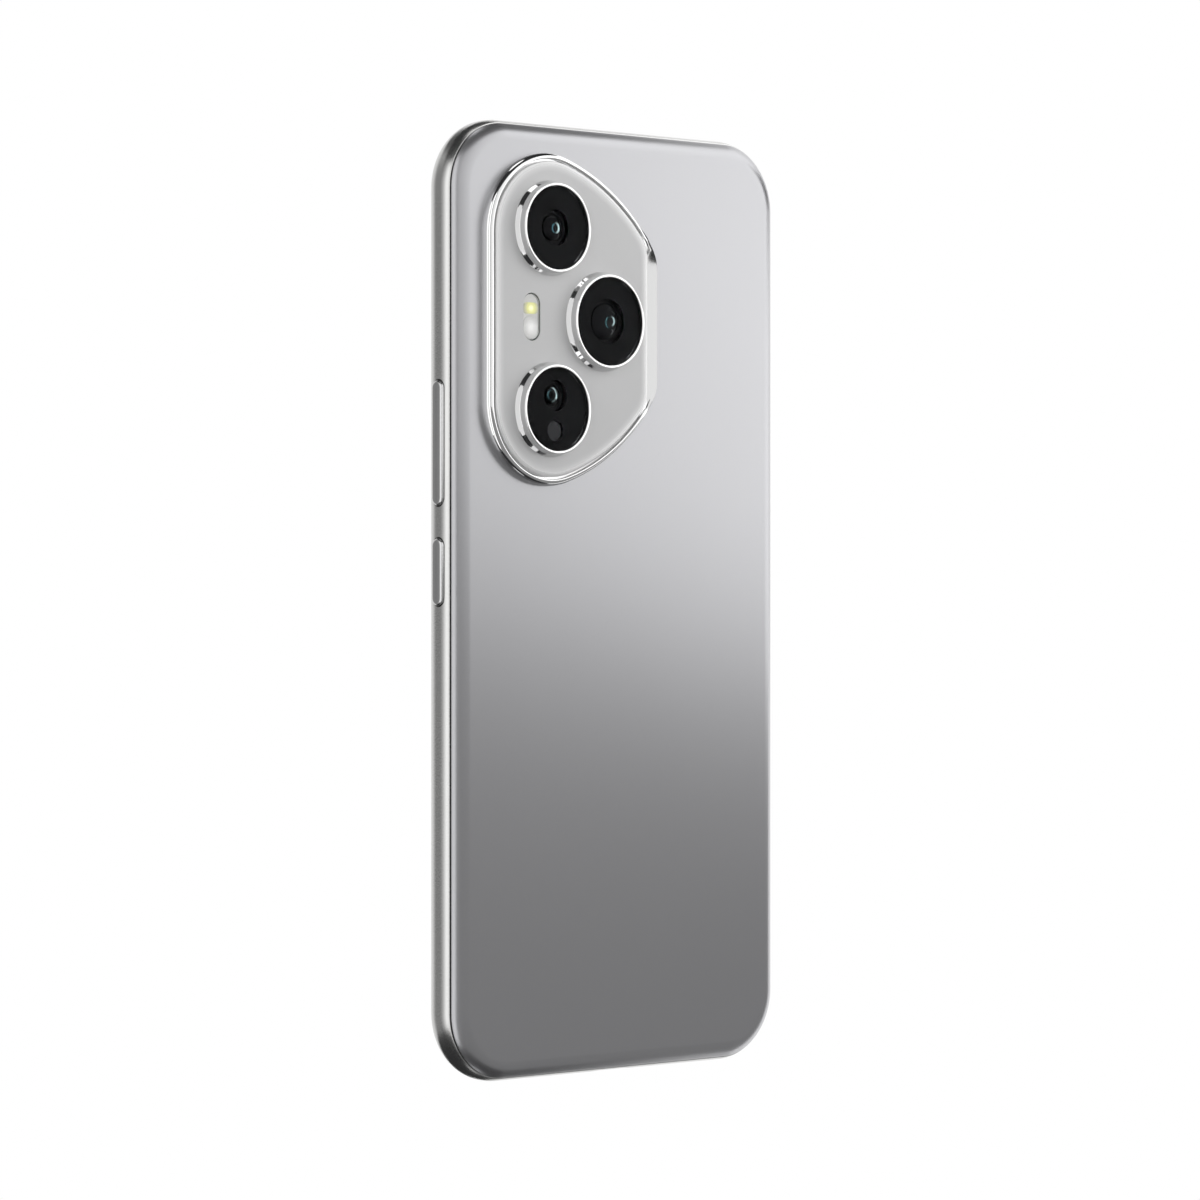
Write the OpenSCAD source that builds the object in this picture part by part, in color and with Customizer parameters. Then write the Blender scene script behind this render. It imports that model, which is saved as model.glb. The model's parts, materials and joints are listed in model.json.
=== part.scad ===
// Smartphone, standing upright on its bottom edge, with the parts that it holds inside.
// Origin: middle of the bottom edge. +Z runs up the phone, the screen faces -Y, the back faces +Y,
// and the keys are on the +X side. Heights in y are counted from the middle of the body's thickness.

/* [Body] */
// Width between the flat sides
body_w = 76.1; // [75.8:0.1:76.6]
// Height from the bottom edge to the top edge
body_h = 160.8; // [160.4:0.1:161.6]
// Thickness without the camera island
body_t = 8.1; // [8.1:0.05:8.4]
// Radius of the four corners, seen from behind
corner_r = 12; // [11.8:0.1:12.2]
// Radius of the rounded edge, seen in section
edge_r = 3.6; // [3.5:0.05:3.7]
// Thickness of the frame's side wall
wall = 1.6; // [1.5:0.05:1.65]
// Thickness of the rear cover glass
rear_glass_t = 0.6; // [0.5:0.05:0.6]
// Thickness of the front cover glass
front_glass_t = 0.7; // [0.6:0.05:0.7]

/* [Camera island] */
// Height of the island's centre above the middle of the body
island_up = 47.2; // [46.5:0.1:47.5]
// How far the polished trim stands out of the back
trim_rise = 1.9; // [1.8:0.05:2]
// How far the satin plate stands out of the back
plate_rise = 2.05; // [2:0.05:2.1]
// How far the lens rings stand out of the plate
ring_rise = 1.95; // [1.8:0.05:2.1]
// Radius of the cover glass over the main lens
main_glass_r = 7.45; // [7.3:0.05:7.5]
// Radius of the cover glasses over the upper and lower lenses
side_glass_r = 7; // [6.9:0.05:7.05]
// Width of a ring's top face outside its glass
ring_lip = 0.5; // [0.4:0.05:0.6]
// Focusing travel of the lens carriers
focus_travel = 0.3; // [0.2:0.05:0.35]

/* [Keys] */
// Width of both keys across the frame
key_w = 2.6; // [2.4:0.1:2.8]
// How far the keys stand out of the frame
key_rise = 0.45; // [0.35:0.05:0.5]
// Gap between a key and its slot
key_gap = 0.12; // [0.1:0.01:0.15]
// Length of the volume rocker
volume_l = 20.8; // [20:0.1:21]
// Height of the rocker's middle above the bottom edge
volume_z = 106.5; // [106:0.1:107]
// Length of the power key
power_l = 11.2; // [10.8:0.1:11.6]
// Height of the power key's middle above the bottom edge
power_z = 85.1; // [84.6:0.1:85.6]

/* [Openings] */
// Width of the charging receptacle's mouth
mouth_w = 8.34; // [8.3:0.01:8.4]
// Height of the charging receptacle's mouth
mouth_h = 2.56; // [2.5:0.01:2.6]
// Radius of the loudspeaker holes
speaker_hole_r = 0.65; // [0.5:0.05:0.75]
// Number of loudspeaker holes
speaker_holes = 6; // [4:1:6]
// Radius of the microphone holes
mic_hole_r = 0.4; // [0.3:0.05:0.5]
// Radius of the tray's ejector pin hole
pin_hole_r = 0.5; // [0.45:0.01:0.55]

/* [Hidden] */

curve_fn = 96;
// Most that a drawn arc's chords stray from it, overlap of joined solids, and how far cutters run past
chord_error = 0.03;
eps = 0.01;
past = 1;

// Main planes
rear = body_t / 2;
front = -body_t / 2;
side = body_w / 2;
mid_z = body_h / 2;
top = body_h;

// Edge section, drawn as [distance from the corner's axis, y]
edge_q = corner_r - edge_r;
edge_y = rear - edge_r;
seal = 0.15;
rim_rear = rear - 1.7;
rim_front = front + 0.85;
wall_q = corner_r - wall;
ledge_q = corner_r - 2.6;
ledge_y = front + 1.5;
glass_back_y = front + front_glass_t;
display_q = ledge_q - 0.2;
display_back_y = front + 1.4;
in_x = side - wall;
in_gap = 0.3;
chassis_gap = 0.1;
rear_gasket_q = [wall_q + 0.2, wall_q + 0.75];
front_gasket_q = [ledge_q + 0.1, ledge_q + 0.9];

// Inner floor and boards
floor_t = 0.6;
floor_y = ledge_y + floor_t;
spreader_t = 0.3;
board_y = floor_y + spreader_t;
board_t = 0.7;
deck_y = board_y + board_t;
flex_t = 0.15;
spare_t = 0.3;

// Camera island, in plan: three arcs per half, tangent to each other
island_z = mid_z + island_up;
arc_a_at = [18, 14];
arc_a_r = 14;
arc_a_end = 107;
arc_b_r = 39.5;
arc_b_end = 143;
arc_c_r = 6.5;
arc_b_at = arc_a_at + (arc_a_r - arc_b_r) * [cos(arc_a_end), sin(arc_a_end)];
arc_c_at = arc_b_at + (arc_b_r - arc_c_r) * [cos(arc_b_end), sin(arc_b_end)];
flank_x = -4.1;
flank_drop = 0.26;
flank_reach = 12;
trim_top = rear + trim_rise;
plate_top = rear + plate_rise;
plate_t = 1.05;
plate_y = plate_top - plate_t;
seat_in = 0.95;
plate_in = 1;
// Edges as [from, to, inset], heights counted from the back and from the plate's underside
trim_steps = [[0, eps, 0], [1.05, 1.06, 0.1], [1.55, 1.56, 0.32], [trim_rise - eps, trim_rise, 0.85]];
plate_steps = [[0, 0.68, 0], [0.91, 0.92, 0.3], [plate_t - eps, plate_t, 0.9]];
spigot_in = 1.75;
glass_hole_in = 1.6;
trim_open_in = 2.6;
spigot_depth = 0.75;

// Lenses as [x, z, cover glass radius, carrier radius, height of the lens above the glass centre]
lens_x = 18.4;
main_x = 6.4;
lens_pitch = 15.2;
upper_lens = [lens_x, island_z + lens_pitch, side_glass_r, 4, 0];
main_lens = [main_x, island_z, main_glass_r, 4.9, 0];
lower_lens = [lens_x, island_z - lens_pitch, side_glass_r, 3.4, 2.3];
ring_top = plate_top + ring_rise;
glass_set = 0.25;
cover_t = 0.6;
cover_y = ring_top - glass_set - cover_t;
glass_gap = 0.02;
ring_seat = 0.7;
ring_wall_in = 0.2;
ring_gap = 0.05;
ring_bevel = 0.12;
foot_edge = 0.05;
foot_flare = 0.5;
foot_rise = 1;
housing_top = rear - 0.85;
housing_floor = 1.2;
housing_wall = 2.1;
carrier_gap = 0.08;
carrier_y = floor_y + 1.6;
carrier_top = cover_y - focus_travel - 0.5;
barrel_bevel = 0.8;
barrel_rim = 0.8;
barrel_throat = 1.3;
barrel_depth = 0.6;
sensor_at = [lens_x, island_z - lens_pitch - 3.6];
sensor_r = 1.75;
sensor_gap = 0.3;

// Flash
flash_at = [22.6, island_z + 0.2];
flash_w = 3.8;
flash_l = 8;
flash_gap = 0.05;
flash_proud = 0.05;
led_t = 0.4;
warm_half = 1;
warm_z = [0.4, 2.4];
white_half = 1.2;
white_z = [-3.3, -0.3];
flash_board_half = 1.8;
flash_board_z = [-4, 3.6];
flash_board_t = 0.35;

// Keys
key_slot_w = key_w + 2 * key_gap;
flange_x = [side - 2.3, side - 1.95];
flange_over = 0.4;
nub_r = 0.5;
nub_x = side - 2.45;
dome_x = side - 2.85;
dome_t = 0.3;
dome_r = 1.3;
volume_dome = 6.5;
dome_z = [power_z, volume_z - volume_dome, volume_z + volume_dome];
key_board_t = 0.6;
key_bracket_t = 0.4;
key_board_half = 1.5;
key_board_z = [power_z - 5.6, volume_z + 10.4];
bracket_top = 1.6;
key_bevel = 0.2;
rib_r = 0.3;
rib_half = 1.65;

// Tray
door_z = [110, 126.4];
door_w = 2.2;
door_t = 1.1;
door_gap = 0.1;
tray_z = [111, 122];
tray_t = 0.9;
tray_end_x = -side + 16.5;
seat_l = 12.3;
seat_w = 8.8;
cage_x = [-side + 1.8, -side + 17.5];
cage_z = [110.5, 122.5];
cage_t = 0.2;
cage_h = 1.9;
pin_z = 124.9;
pivot_at = [-side + 18.6, 122.9];
pivot_r = 0.6;
pivot_gap = 0.05;
lever_w = 1.4;
lever_t = 0.6;
lever_low = 112.8;
lever_end = 3;
hub_r = 1.1;
nose_x = tray_end_x + 0.1;
nose_h = 1;
seat_rim = 1;
pivot_plate_x = pivot_at[0] + 1.3;
pivot_plate_z = [cage_z[1] - 2.4, cage_z[1] + 1.8];
gasket_t = 0.35;
gasket_half = 0.95;
gasket_over = 0.45;

// Receptacle
shell_t = 0.32;
shell_depth = 7.3;
shell_z = 0.3;
tongue_w = 6.69;
tongue_t = 0.7;
tongue_l = 5.6;
mouth_gap = 0.08;
ear_x = 6.4;
ear_t = 0.3;
ear_z = [3.6, 6.4];

// Fasteners: countersunk-free screws with a flat head
screw_r = 0.6;
screw_gap = 0.02;
head_r = 1.2;
head_t = 0.45;
boss_r = 1.5;
screw_end = 0.1;
pad_hole = 0.15;
main_screws = [[-33.2, 104], [-33.2, 130], [-33.2, 149], [30.6, 149], [30.6, 123], [30.6, 102]];
sub_screws = [[-33.2, 17.2], [-13.2, 17.2], [5.2, 17.2]];
screws = concat(main_screws, sub_screws);

// Pieces inside, as spans along x, y and z
battery_x = [-32, 32];
battery_y = [board_y, board_y + 4.2];
battery_z = [24, 95];
coil_z = 62;
coil_r = [9, 21];
coil_t = 0.35;
shield_t = 0.35;
shield_half = 24;
spreader_x = [-31, -9];
spreader_z = [60, 150];
board_x = [-35.4, 33.2];
board_z = [99, top - 3.6];
sub_x = [-35.4, 7];
sub_z = [3, 19.4];
speaker_x = [8, 35.4];
speaker_z = [2.4, 20];
speaker_y = [floor_y, rear - 1.3];
motor_x = [-31, -16];
motor_y = [deck_y, deck_y + 3.4];
motor_z = [7, 15.6];
motor_wall = 0.5;
motor_lid_t = 0.3;
mass_x = [-28.6, -18.4];
mass_y = [deck_y + 0.8, deck_y + 2.6];
mass_z = [8, 14.6];
front_cam_at = [0, top - 7.2];
front_cam_half = 3;
front_lens_r = 1.7;
front_cam_t = 2.9;
front_lens_gap = 0.05;
display_hole = 0.2;
chassis_hole = 0.3;
earpiece_x = [5.4, 18.6];
earpiece_z = [top - 10.2, top - 3.6];
earpiece_t = 2.6;
slit_half = 5.5;
slit_z = top - 2.2;
slit_mesh_z = [slit_z + 0.05, slit_z + 0.5];
slit_mesh_t = 0.2;
slit_gap = 0.1;
speaker_hole_x = 13.6;
speaker_hole_pitch = 2.5;
speaker_mesh_x = [12.2, 27.6];
speaker_mesh_t = 0.25;
speaker_mesh_y = [-1, 1];
mic_x = [-11.5, -14];
mic_z = [4.5, top - 5.5];
mic_half = [1.7, 1.3];
mic_t = 1.1;
can_skin = 0.2;
large_can = [[-31, -10], [132.4, 151.6], 2];
small_can = [[-16.4, -3], [104.2, 120], 1.9];
cover_plate_y = [deck_y + 2.1, deck_y + 2.8];
cover_plate_x = [-35.4, -3.4];
cover_plate_z = [103, 155];
socket_notch = [9.8, 8.3];
main_flex_x = [-31, -26.5];
main_flex_z = [20, 99.4];
main_flex_ends = [16, 102.6];
tail_x = [-6, 2];
tail_z = 101.5;
display_flex_x = [10, 20];
display_flex_z = [97, 103];
finger_half = 4.5;
finger_z = [40, 49];
finger_t = 0.6;
window_gap = 0.5;

// ---------- helpers ----------

// Points on an arc from a0 to a1, as many as keep its chords within chord_error of it
function bow(c, r, a0, a1) =
    let (n = ceil(abs(a1 - a0) / (2 * acos(1 - chord_error / r))))
    [for (i = [0:n]) let (a = a0 + (a1 - a0) * i / n) c + r * [cos(a), sin(a)]];

function rest(list) = [for (i = [1:len(list) - 1]) list[i]];

function edge_angle(y, r = edge_r) = asin((abs(y) - edge_y) / r);

// Rounded outline of the body, q away from the corners' axes
function outline(q) = [
    for (k = [0:3])
        let (cx = (k == 0 || k == 3 ? 1 : -1) * (side - corner_r))
        let (cz = mid_z + (k < 2 ? 1 : -1) * (mid_z - corner_r))
        each bow([cx, cz], q, 90 * k, 90 * k + 90)];

// Half of the island's outline, grown by off, from the key side round to the flank
function island_half(off) = concat(
    bow(arc_a_at, arc_a_r + off, 0, arc_a_end),
    rest(bow(arc_b_at, arc_b_r + off, arc_a_end, arc_b_end)),
    rest(bow(arc_c_at, arc_c_r + off, arc_b_end, 180)));

function island_pts(off) =
    let (half = island_half(off), n = len(half))
    concat([for (p = half) [p[0], island_z + p[1]]],
           [for (i = [n - 1:-1:0]) [half[i][0], island_z - half[i][1]]]);

// Pill outline of width w and length l, long axis along the second coordinate
function pill_pts(w, l) = concat(
    bow([0, l / 2 - w / 2], w / 2, 0, 180),
    bow([0, w / 2 - l / 2], w / 2, 180, 360));

module box(x, y, z) {
    translate([x[0], y[0], z[0]])
        cube([x[1] - x[0], y[1] - y[0], z[1] - z[0]]);
}

// Extrudes an outline drawn in x and z between two heights in y
module slab_y(y) {
    translate([0, y[1], 0])
        rotate([90, 0, 0])
            linear_extrude(height = y[1] - y[0])
                children();
}

// Extrudes an outline drawn in y and z between two places in x
module slab_x(x) {
    translate([x[0], 0, 0])
        rotate([90, 0, 90])
            linear_extrude(height = x[1] - x[0])
                children();
}

module rod_y(at, r, y) {
    translate([at[0], y[0], at[1]])
        rotate([-90, 0, 0])
            cylinder(r = r, h = y[1] - y[0], $fn = curve_fn);
}

module rod_z(at, r, z) {
    translate([at[0], at[1], z[0]])
        cylinder(r = r, h = z[1] - z[0], $fn = curve_fn);
}

module rod_x(at, r, x) {
    translate([x[0], at[0], at[1]])
        rotate([0, 90, 0])
            cylinder(r = r, h = x[1] - x[0], $fn = curve_fn);
}

// Turns a profile drawn in [radius, y] round an axis along y
module turned(at) {
    translate([at[0], 0, at[1]])
        rotate([-90, 0, 0])
            rotate_extrude($fn = curve_fn)
                children();
}

// Carries an edge section round the body's four corners and four sides
module round_body() {
    translate([0, 0, mid_z]) {
        for (sx = [0, 1], sz = [0, 1])
            mirror([sx, 0, 0])
                mirror([0, 0, sz])
                    translate([side - corner_r, 0, corner_r - mid_z])
                        rotate([-90, 0, 0])
                            rotate_extrude(angle = 90, $fn = curve_fn)
                                children();
        for (sx = [0, 1])
            mirror([sx, 0, 0])
                translate([side - corner_r, 0, corner_r - mid_z])
                    linear_extrude(height = body_h - 2 * corner_r)
                        children();
        for (sz = [0, 1])
            mirror([0, 0, sz])
                translate([side - corner_r, 0, mid_z - corner_r])
                    rotate([0, -90, 0])
                        linear_extrude(height = body_w - 2 * corner_r)
                            children();
    }
}

// Fills the middle that a section starting at the corner axes leaves open
module middle(y) {
    box([corner_r - side, side - corner_r], y, [corner_r, body_h - corner_r]);
}

// Outline of what fits inside the frame's wall
module inside(x, z) {
    intersection() {
        polygon(outline(wall_q - in_gap));
        translate([x[0], z[0]])
            square([x[1] - x[0], z[1] - z[0]]);
    }
}

// ---------- casing ----------

frame_section = concat(
    bow([edge_q, edge_y], edge_r, edge_angle(rim_rear), 0),
    bow([edge_q, -edge_y], edge_r, 0, -edge_angle(rim_front)),
    [[ledge_q, rim_front], [ledge_q, ledge_y], [wall_q, ledge_y], [wall_q, rim_rear]]);

module key_slot(l, z) {
    slab_x([in_x - past, side + past])
        translate([0, z])
            polygon(pill_pts(key_slot_w, l + 2 * key_gap));
}

module door_outline(gap) {
    translate([0, (door_z[0] + door_z[1]) / 2])
        polygon(pill_pts(door_w + 2 * gap, door_z[1] - door_z[0] + 2 * gap));
}

module mouth_outline(grow) {
    rotate([0, 0, 90])
        polygon(pill_pts(mouth_h + 2 * grow, mouth_w + 2 * grow));
}

module mid_frame() {
    color([0.78, 0.78, 0.77])
        difference() {
            round_body()
                polygon(frame_section);
            key_slot(volume_l, volume_z);
            key_slot(power_l, power_z);
            slab_x([-side - past, past - in_x])
                door_outline(door_gap);
            translate([0, 0, -past])
                linear_extrude(height = wall + 2 * past)
                    mouth_outline(shell_t + mouth_gap);
            for (i = [0:speaker_holes - 1])
                rod_z([speaker_hole_x + i * speaker_hole_pitch, 0], speaker_hole_r,
                      [-past, wall + past]);
            rod_z([mic_x[0], 0], mic_hole_r, [-past, wall + past]);
            rod_z([mic_x[1], 0], mic_hole_r, [top - wall - past, top + past]);
        }
}

module chassis_plate() {
    through = [ledge_y - past, floor_y + past];
    color([0.62, 0.63, 0.65])
        difference() {
            union() {
                slab_y([ledge_y, floor_y])
                    polygon(outline(wall_q - chassis_gap));
                for (p = screws)
                    rod_y(p, boss_r, [floor_y - eps, board_y]);
            }
            for (p = screws)
                rod_y(p, screw_r + screw_gap, [ledge_y - past, board_y + past]);
            rod_y(front_cam_at, front_lens_r + chassis_hole, through);
            box(display_flex_x + [-window_gap, window_gap], through,
                [display_flex_z[0] - window_gap, display_flex_z[0] + flex_t + window_gap]);
            box([-finger_half - window_gap, finger_half + window_gap], through,
                finger_z + [-window_gap, window_gap]);
        }
}

rear_section = concat(
    [[0, rear - rear_glass_t]],
    bow([edge_q, edge_y], edge_r - rear_glass_t, 90,
        edge_angle(rim_rear + seal, edge_r - rear_glass_t)),
    bow([edge_q, edge_y], edge_r, edge_angle(rim_rear + seal), 90),
    [[0, rear]]);

module rear_cover_glass() {
    color([0.66, 0.66, 0.68])
        difference() {
            union() {
                round_body()
                    polygon(rear_section);
                middle([rear - rear_glass_t, rear]);
            }
            slab_y([rear - rear_glass_t - past, rear + past])
                polygon(island_pts(-glass_hole_in));
        }
}

module rear_gasket() {
    color([0.12, 0.12, 0.13])
        round_body()
            translate([rear_gasket_q[0], rim_rear])
                square([rear_gasket_q[1] - rear_gasket_q[0], seal]);
}

front_section = concat(
    [[0, glass_back_y]],
    bow([edge_q, -edge_y], edge_r, -edge_angle(glass_back_y), -90),
    [[0, front]]);

module front_cover_glass() {
    color([0.05, 0.05, 0.06])
        difference() {
            union() {
                round_body()
                    polygon(front_section);
                middle([front, glass_back_y]);
            }
            box([-slit_half, slit_half], [front - past, glass_back_y + past], [slit_z, top]);
        }
}

module front_gasket() {
    color([0.1, 0.1, 0.1])
        round_body()
            translate([front_gasket_q[0], glass_back_y])
                square([front_gasket_q[1] - front_gasket_q[0], rim_front - glass_back_y]);
}

module display_panel() {
    color([0.03, 0.03, 0.04])
        difference() {
            slab_y([glass_back_y, display_back_y])
                polygon(outline(display_q));
            rod_y(front_cam_at, front_lens_r + display_hole, [front, display_back_y + past]);
        }
}

module display_flex() {
    color([0.72, 0.45, 0.12]) {
        box(display_flex_x, [display_back_y, deck_y + flex_t],
            [display_flex_z[0], display_flex_z[0] + flex_t]);
        box(display_flex_x, [deck_y, deck_y + flex_t], [display_flex_z[0] + flex_t, display_flex_z[1]]);
    }
}

module fingerprint_sensor() {
    color([0.15, 0.15, 0.16])
        box([-finger_half, finger_half], [display_back_y, display_back_y + finger_t], finger_z);
}

// ---------- camera island ----------

// Cuts the sloping flank on the island's inner side
module flank_cut() {
    low = [flank_x - flank_reach, trim_top - flank_reach * flank_drop];
    linear_extrude(height = top + past)
        polygon([[flank_x, trim_top], low, low + [0, flank_reach], [flank_x, trim_top + flank_reach]]);
}

module island_area(off, x_min) {
    intersection() {
        polygon(island_pts(off));
        translate([x_min, 0])
            square([2 * side, 2 * top]);
    }
}

module camera_trim() {
    color([0.85, 0.85, 0.86])
        difference() {
            union() {
                hull()
                    for (s = trim_steps)
                        slab_y([rear + s[0], rear + s[1]])
                            polygon(island_pts(-s[2]));
                slab_y([rear - spigot_depth, rear + eps])
                    polygon(island_pts(-spigot_in));
            }
            slab_y([rear - spigot_depth - past, trim_top + past])
                island_area(-trim_open_in, flank_x + trim_open_in - plate_in);
            slab_y([plate_y, trim_top + past])
                island_area(-seat_in, flank_x);
            flank_cut();
        }
}

module camera_plate() {
    through = [plate_y - past, plate_top + past];
    seat_gap = plate_in - seat_in;
    color([0.76, 0.76, 0.77])
        difference() {
            hull()
                for (s = plate_steps)
                    slab_y([plate_y + s[0], plate_y + s[1]])
                        island_area(-s[2] - plate_in, flank_x + seat_gap + s[2]);
            for (l = [upper_lens, main_lens, lower_lens])
                rod_y([l[0], l[1]], l[2] + ring_lip - ring_wall_in + ring_gap, through);
            slab_y(through)
                translate(flash_at)
                    polygon(pill_pts(flash_w + 2 * flash_gap, flash_l + 2 * flash_gap));
        }
}

module lens_ring(l) {
    bore = l[2] - ring_seat;
    seat = l[2] + glass_gap;
    lip = l[2] + ring_lip;
    spigot = lip - ring_wall_in;
    flare = [for (a = [0:15:90]) [lip + foot_flare * (1 - sin(a)),
                                  plate_top + foot_edge + foot_rise * (1 - cos(a))]];
    color([0.88, 0.88, 0.89])
        turned([l[0], l[1]])
            polygon(concat(
                [[bore, plate_y], [spigot, plate_y], [spigot, plate_top], [lip + foot_flare, plate_top]],
                flare,
                [[lip, ring_top - ring_bevel], [lip - ring_bevel, ring_top], [seat + ring_bevel, ring_top],
                 [seat, ring_top - ring_bevel], [seat, cover_y], [bore, cover_y]]));
}

module lens_glass(l) {
    color([0.03, 0.03, 0.035])
        rod_y([l[0], l[1]], l[2], [cover_y, cover_y + cover_t]);
}

module camera_housing(l) {
    half = l[3] + l[4] + housing_wall;
    centre = [l[0], l[1] + l[4]];
    color([0.35, 0.35, 0.37])
        difference() {
            box([l[0] - half, l[0] + half], [floor_y, housing_top], [l[1] - half, l[1] + half]);
            rod_y(centre, l[3] + carrier_gap, [floor_y + housing_floor, housing_top + past]);
        }
}

module carrier(l) {
    front_r = l[3] - barrel_bevel;
    color([0.08, 0.08, 0.09])
        turned([l[0], l[1] + l[4]])
            polygon([[0, carrier_y], [l[3], carrier_y], [l[3], carrier_top - barrel_bevel],
                     [front_r, carrier_top], [front_r - barrel_rim, carrier_top],
                     [front_r - barrel_throat, carrier_top - barrel_depth],
                     [0, carrier_top - barrel_depth]]);
}

module light_sensor() {
    color([0.25, 0.25, 0.26])
        rod_y(sensor_at, sensor_r, [housing_top, cover_y - sensor_gap]);
}

module flash_lens() {
    color([0.95, 0.95, 0.9, 0.6])
        slab_y([plate_y, plate_top + flash_proud])
            translate(flash_at)
                polygon(pill_pts(flash_w, flash_l));
}

module flash_led_warm() {
    color([1, 0.85, 0.4])
        box([flash_at[0] - warm_half, flash_at[0] + warm_half], [plate_y - led_t, plate_y],
            [flash_at[1] + warm_z[0], flash_at[1] + warm_z[1]]);
}

module flash_led_white() {
    color([0.95, 0.95, 0.95])
        box([flash_at[0] - white_half, flash_at[0] + white_half], [plate_y - led_t, plate_y],
            [flash_at[1] + white_z[0], flash_at[1] + white_z[1]]);
}

module flash_board() {
    color([0.1, 0.3, 0.18])
        box([flash_at[0] - flash_board_half, flash_at[0] + flash_board_half],
            [plate_y - led_t - flash_board_t, plate_y - led_t],
            [flash_at[1] + flash_board_z[0], flash_at[1] + flash_board_z[1]]);
}

// ---------- front camera and sound ----------

module front_camera() {
    x = front_cam_at[0];
    z = front_cam_at[1];
    color([0.06, 0.06, 0.07]) {
        box([x - front_cam_half, x + front_cam_half], [floor_y, floor_y + front_cam_t],
            [z - front_cam_half, z + front_cam_half]);
        rod_y(front_cam_at, front_lens_r, [glass_back_y + front_lens_gap, floor_y + eps]);
    }
}

module earpiece() {
    color([0.3, 0.3, 0.32])
        box(earpiece_x, [floor_y, floor_y + earpiece_t], earpiece_z);
}

module earpiece_mesh() {
    color([0.08, 0.08, 0.08])
        box([slit_gap - slit_half, slit_half - slit_gap], [glass_back_y - slit_mesh_t, glass_back_y],
            slit_mesh_z);
}

module loudspeaker() {
    color([0.14, 0.14, 0.15])
        slab_y(speaker_y)
            inside(speaker_x, speaker_z);
}

module speaker_mesh() {
    color([0.2, 0.2, 0.2])
        slab_y(speaker_mesh_y)
            intersection() {
                polygon(outline(wall_q));
                translate([speaker_mesh_x[0], wall])
                    square([speaker_mesh_x[1] - speaker_mesh_x[0], speaker_mesh_t]);
            }
}

module microphones() {
    color([0.75, 0.7, 0.5])
        for (i = [0, 1])
            box([mic_x[i] - mic_half[0], mic_x[i] + mic_half[0]], [deck_y, deck_y + mic_t],
                [mic_z[i] - mic_half[1], mic_z[i] + mic_half[1]]);
}

// ---------- receptacle ----------

module receptacle_shell() {
    color([0.7, 0.7, 0.72])
        difference() {
            union() {
                translate([0, 0, shell_z])
                    linear_extrude(height = shell_depth + shell_t)
                        mouth_outline(shell_t);
                box([-ear_x, ear_x], [deck_y, deck_y + ear_t], ear_z);
            }
            translate([0, 0, shell_z - past])
                linear_extrude(height = shell_depth + past)
                    mouth_outline(0);
        }
}

module receptacle_tongue() {
    color([0.1, 0.1, 0.1])
        box([-tongue_w / 2, tongue_w / 2], [-tongue_t / 2, tongue_t / 2],
            [shell_z + shell_depth - tongue_l, shell_z + shell_depth]);
}

// ---------- boards and power ----------

module lens_cutout(l) {
    half = l[3] + l[4] + housing_wall + in_gap;
    translate([l[0] - half, l[1] - half])
        square(2 * half);
}

module board_holes(list) {
    for (p = list)
        rod_y(p, screw_r + pad_hole, [board_y - past, deck_y + past]);
}

module main_board() {
    notch = front_cam_half + in_gap;
    color([0.05, 0.25, 0.14])
        difference() {
            slab_y([board_y, deck_y])
                difference() {
                    inside(board_x, board_z);
                    for (l = [upper_lens, main_lens, lower_lens])
                        lens_cutout(l);
                    translate([front_cam_at[0] - notch, front_cam_at[1] - notch])
                        square([2 * notch, corner_r]);
                    translate([earpiece_x[0] - in_gap, earpiece_z[0] - in_gap])
                        square([earpiece_x[1] - earpiece_x[0] + 2 * in_gap, corner_r]);
                }
            board_holes(main_screws);
        }
}

// Shield can open towards the board, given as [x, z, height]
module can(c) {
    inner = [can_skin, -can_skin];
    difference() {
        box(c[0], [deck_y, deck_y + c[2]], c[1]);
        box(c[0] + inner, [deck_y - past, deck_y + c[2] - can_skin], c[1] + inner);
    }
}

module shield_can_large() {
    color([0.72, 0.72, 0.74])
        can(large_can);
}

module shield_can_small() {
    color([0.72, 0.72, 0.74])
        can(small_can);
}

module board_cover() {
    color([0.09, 0.09, 0.1])
        slab_y(cover_plate_y)
            inside(cover_plate_x, cover_plate_z);
}

module sub_board() {
    color([0.05, 0.25, 0.14])
        difference() {
            slab_y([board_y, deck_y])
                difference() {
                    inside(sub_x, sub_z);
                    translate([-socket_notch[0] / 2, 0])
                        square(socket_notch);
                }
            board_holes(sub_screws);
        }
}

module main_flex() {
    x = main_flex_x;
    z = main_flex_z;
    over = battery_y[1];
    color([0.72, 0.45, 0.12]) {
        box(x, [over, over + flex_t], z);
        box(x, [deck_y, over], [z[0], z[0] + flex_t]);
        box(x, [deck_y, over], [z[1] - flex_t, z[1]]);
        box(x, [deck_y, deck_y + flex_t], [main_flex_ends[0], z[0]]);
        box(x, [deck_y, deck_y + flex_t], [z[1], main_flex_ends[1]]);
    }
}

module battery() {
    color([0.13, 0.13, 0.14])
        box(battery_x, battery_y, battery_z);
}

module battery_tail() {
    color([0.72, 0.45, 0.12])
        box(tail_x, [deck_y, deck_y + flex_t], [battery_z[1], tail_z]);
}

module charge_coil() {
    y = battery_y[1] + shield_t;
    color([0.72, 0.42, 0.22])
        difference() {
            rod_y([0, coil_z], coil_r[1], [y, y + coil_t]);
            rod_y([0, coil_z], coil_r[0], [y - past, y + coil_t + past]);
        }
}

module coil_shield() {
    color([0.25, 0.25, 0.26])
        box([-shield_half, shield_half], [battery_y[1], battery_y[1] + shield_t],
            [coil_z - shield_half, coil_z + shield_half]);
}

module heat_spreader() {
    color([0.72, 0.42, 0.25])
        box(spreader_x, [floor_y, board_y], spreader_z);
}

// ---------- vibration motor ----------

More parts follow.
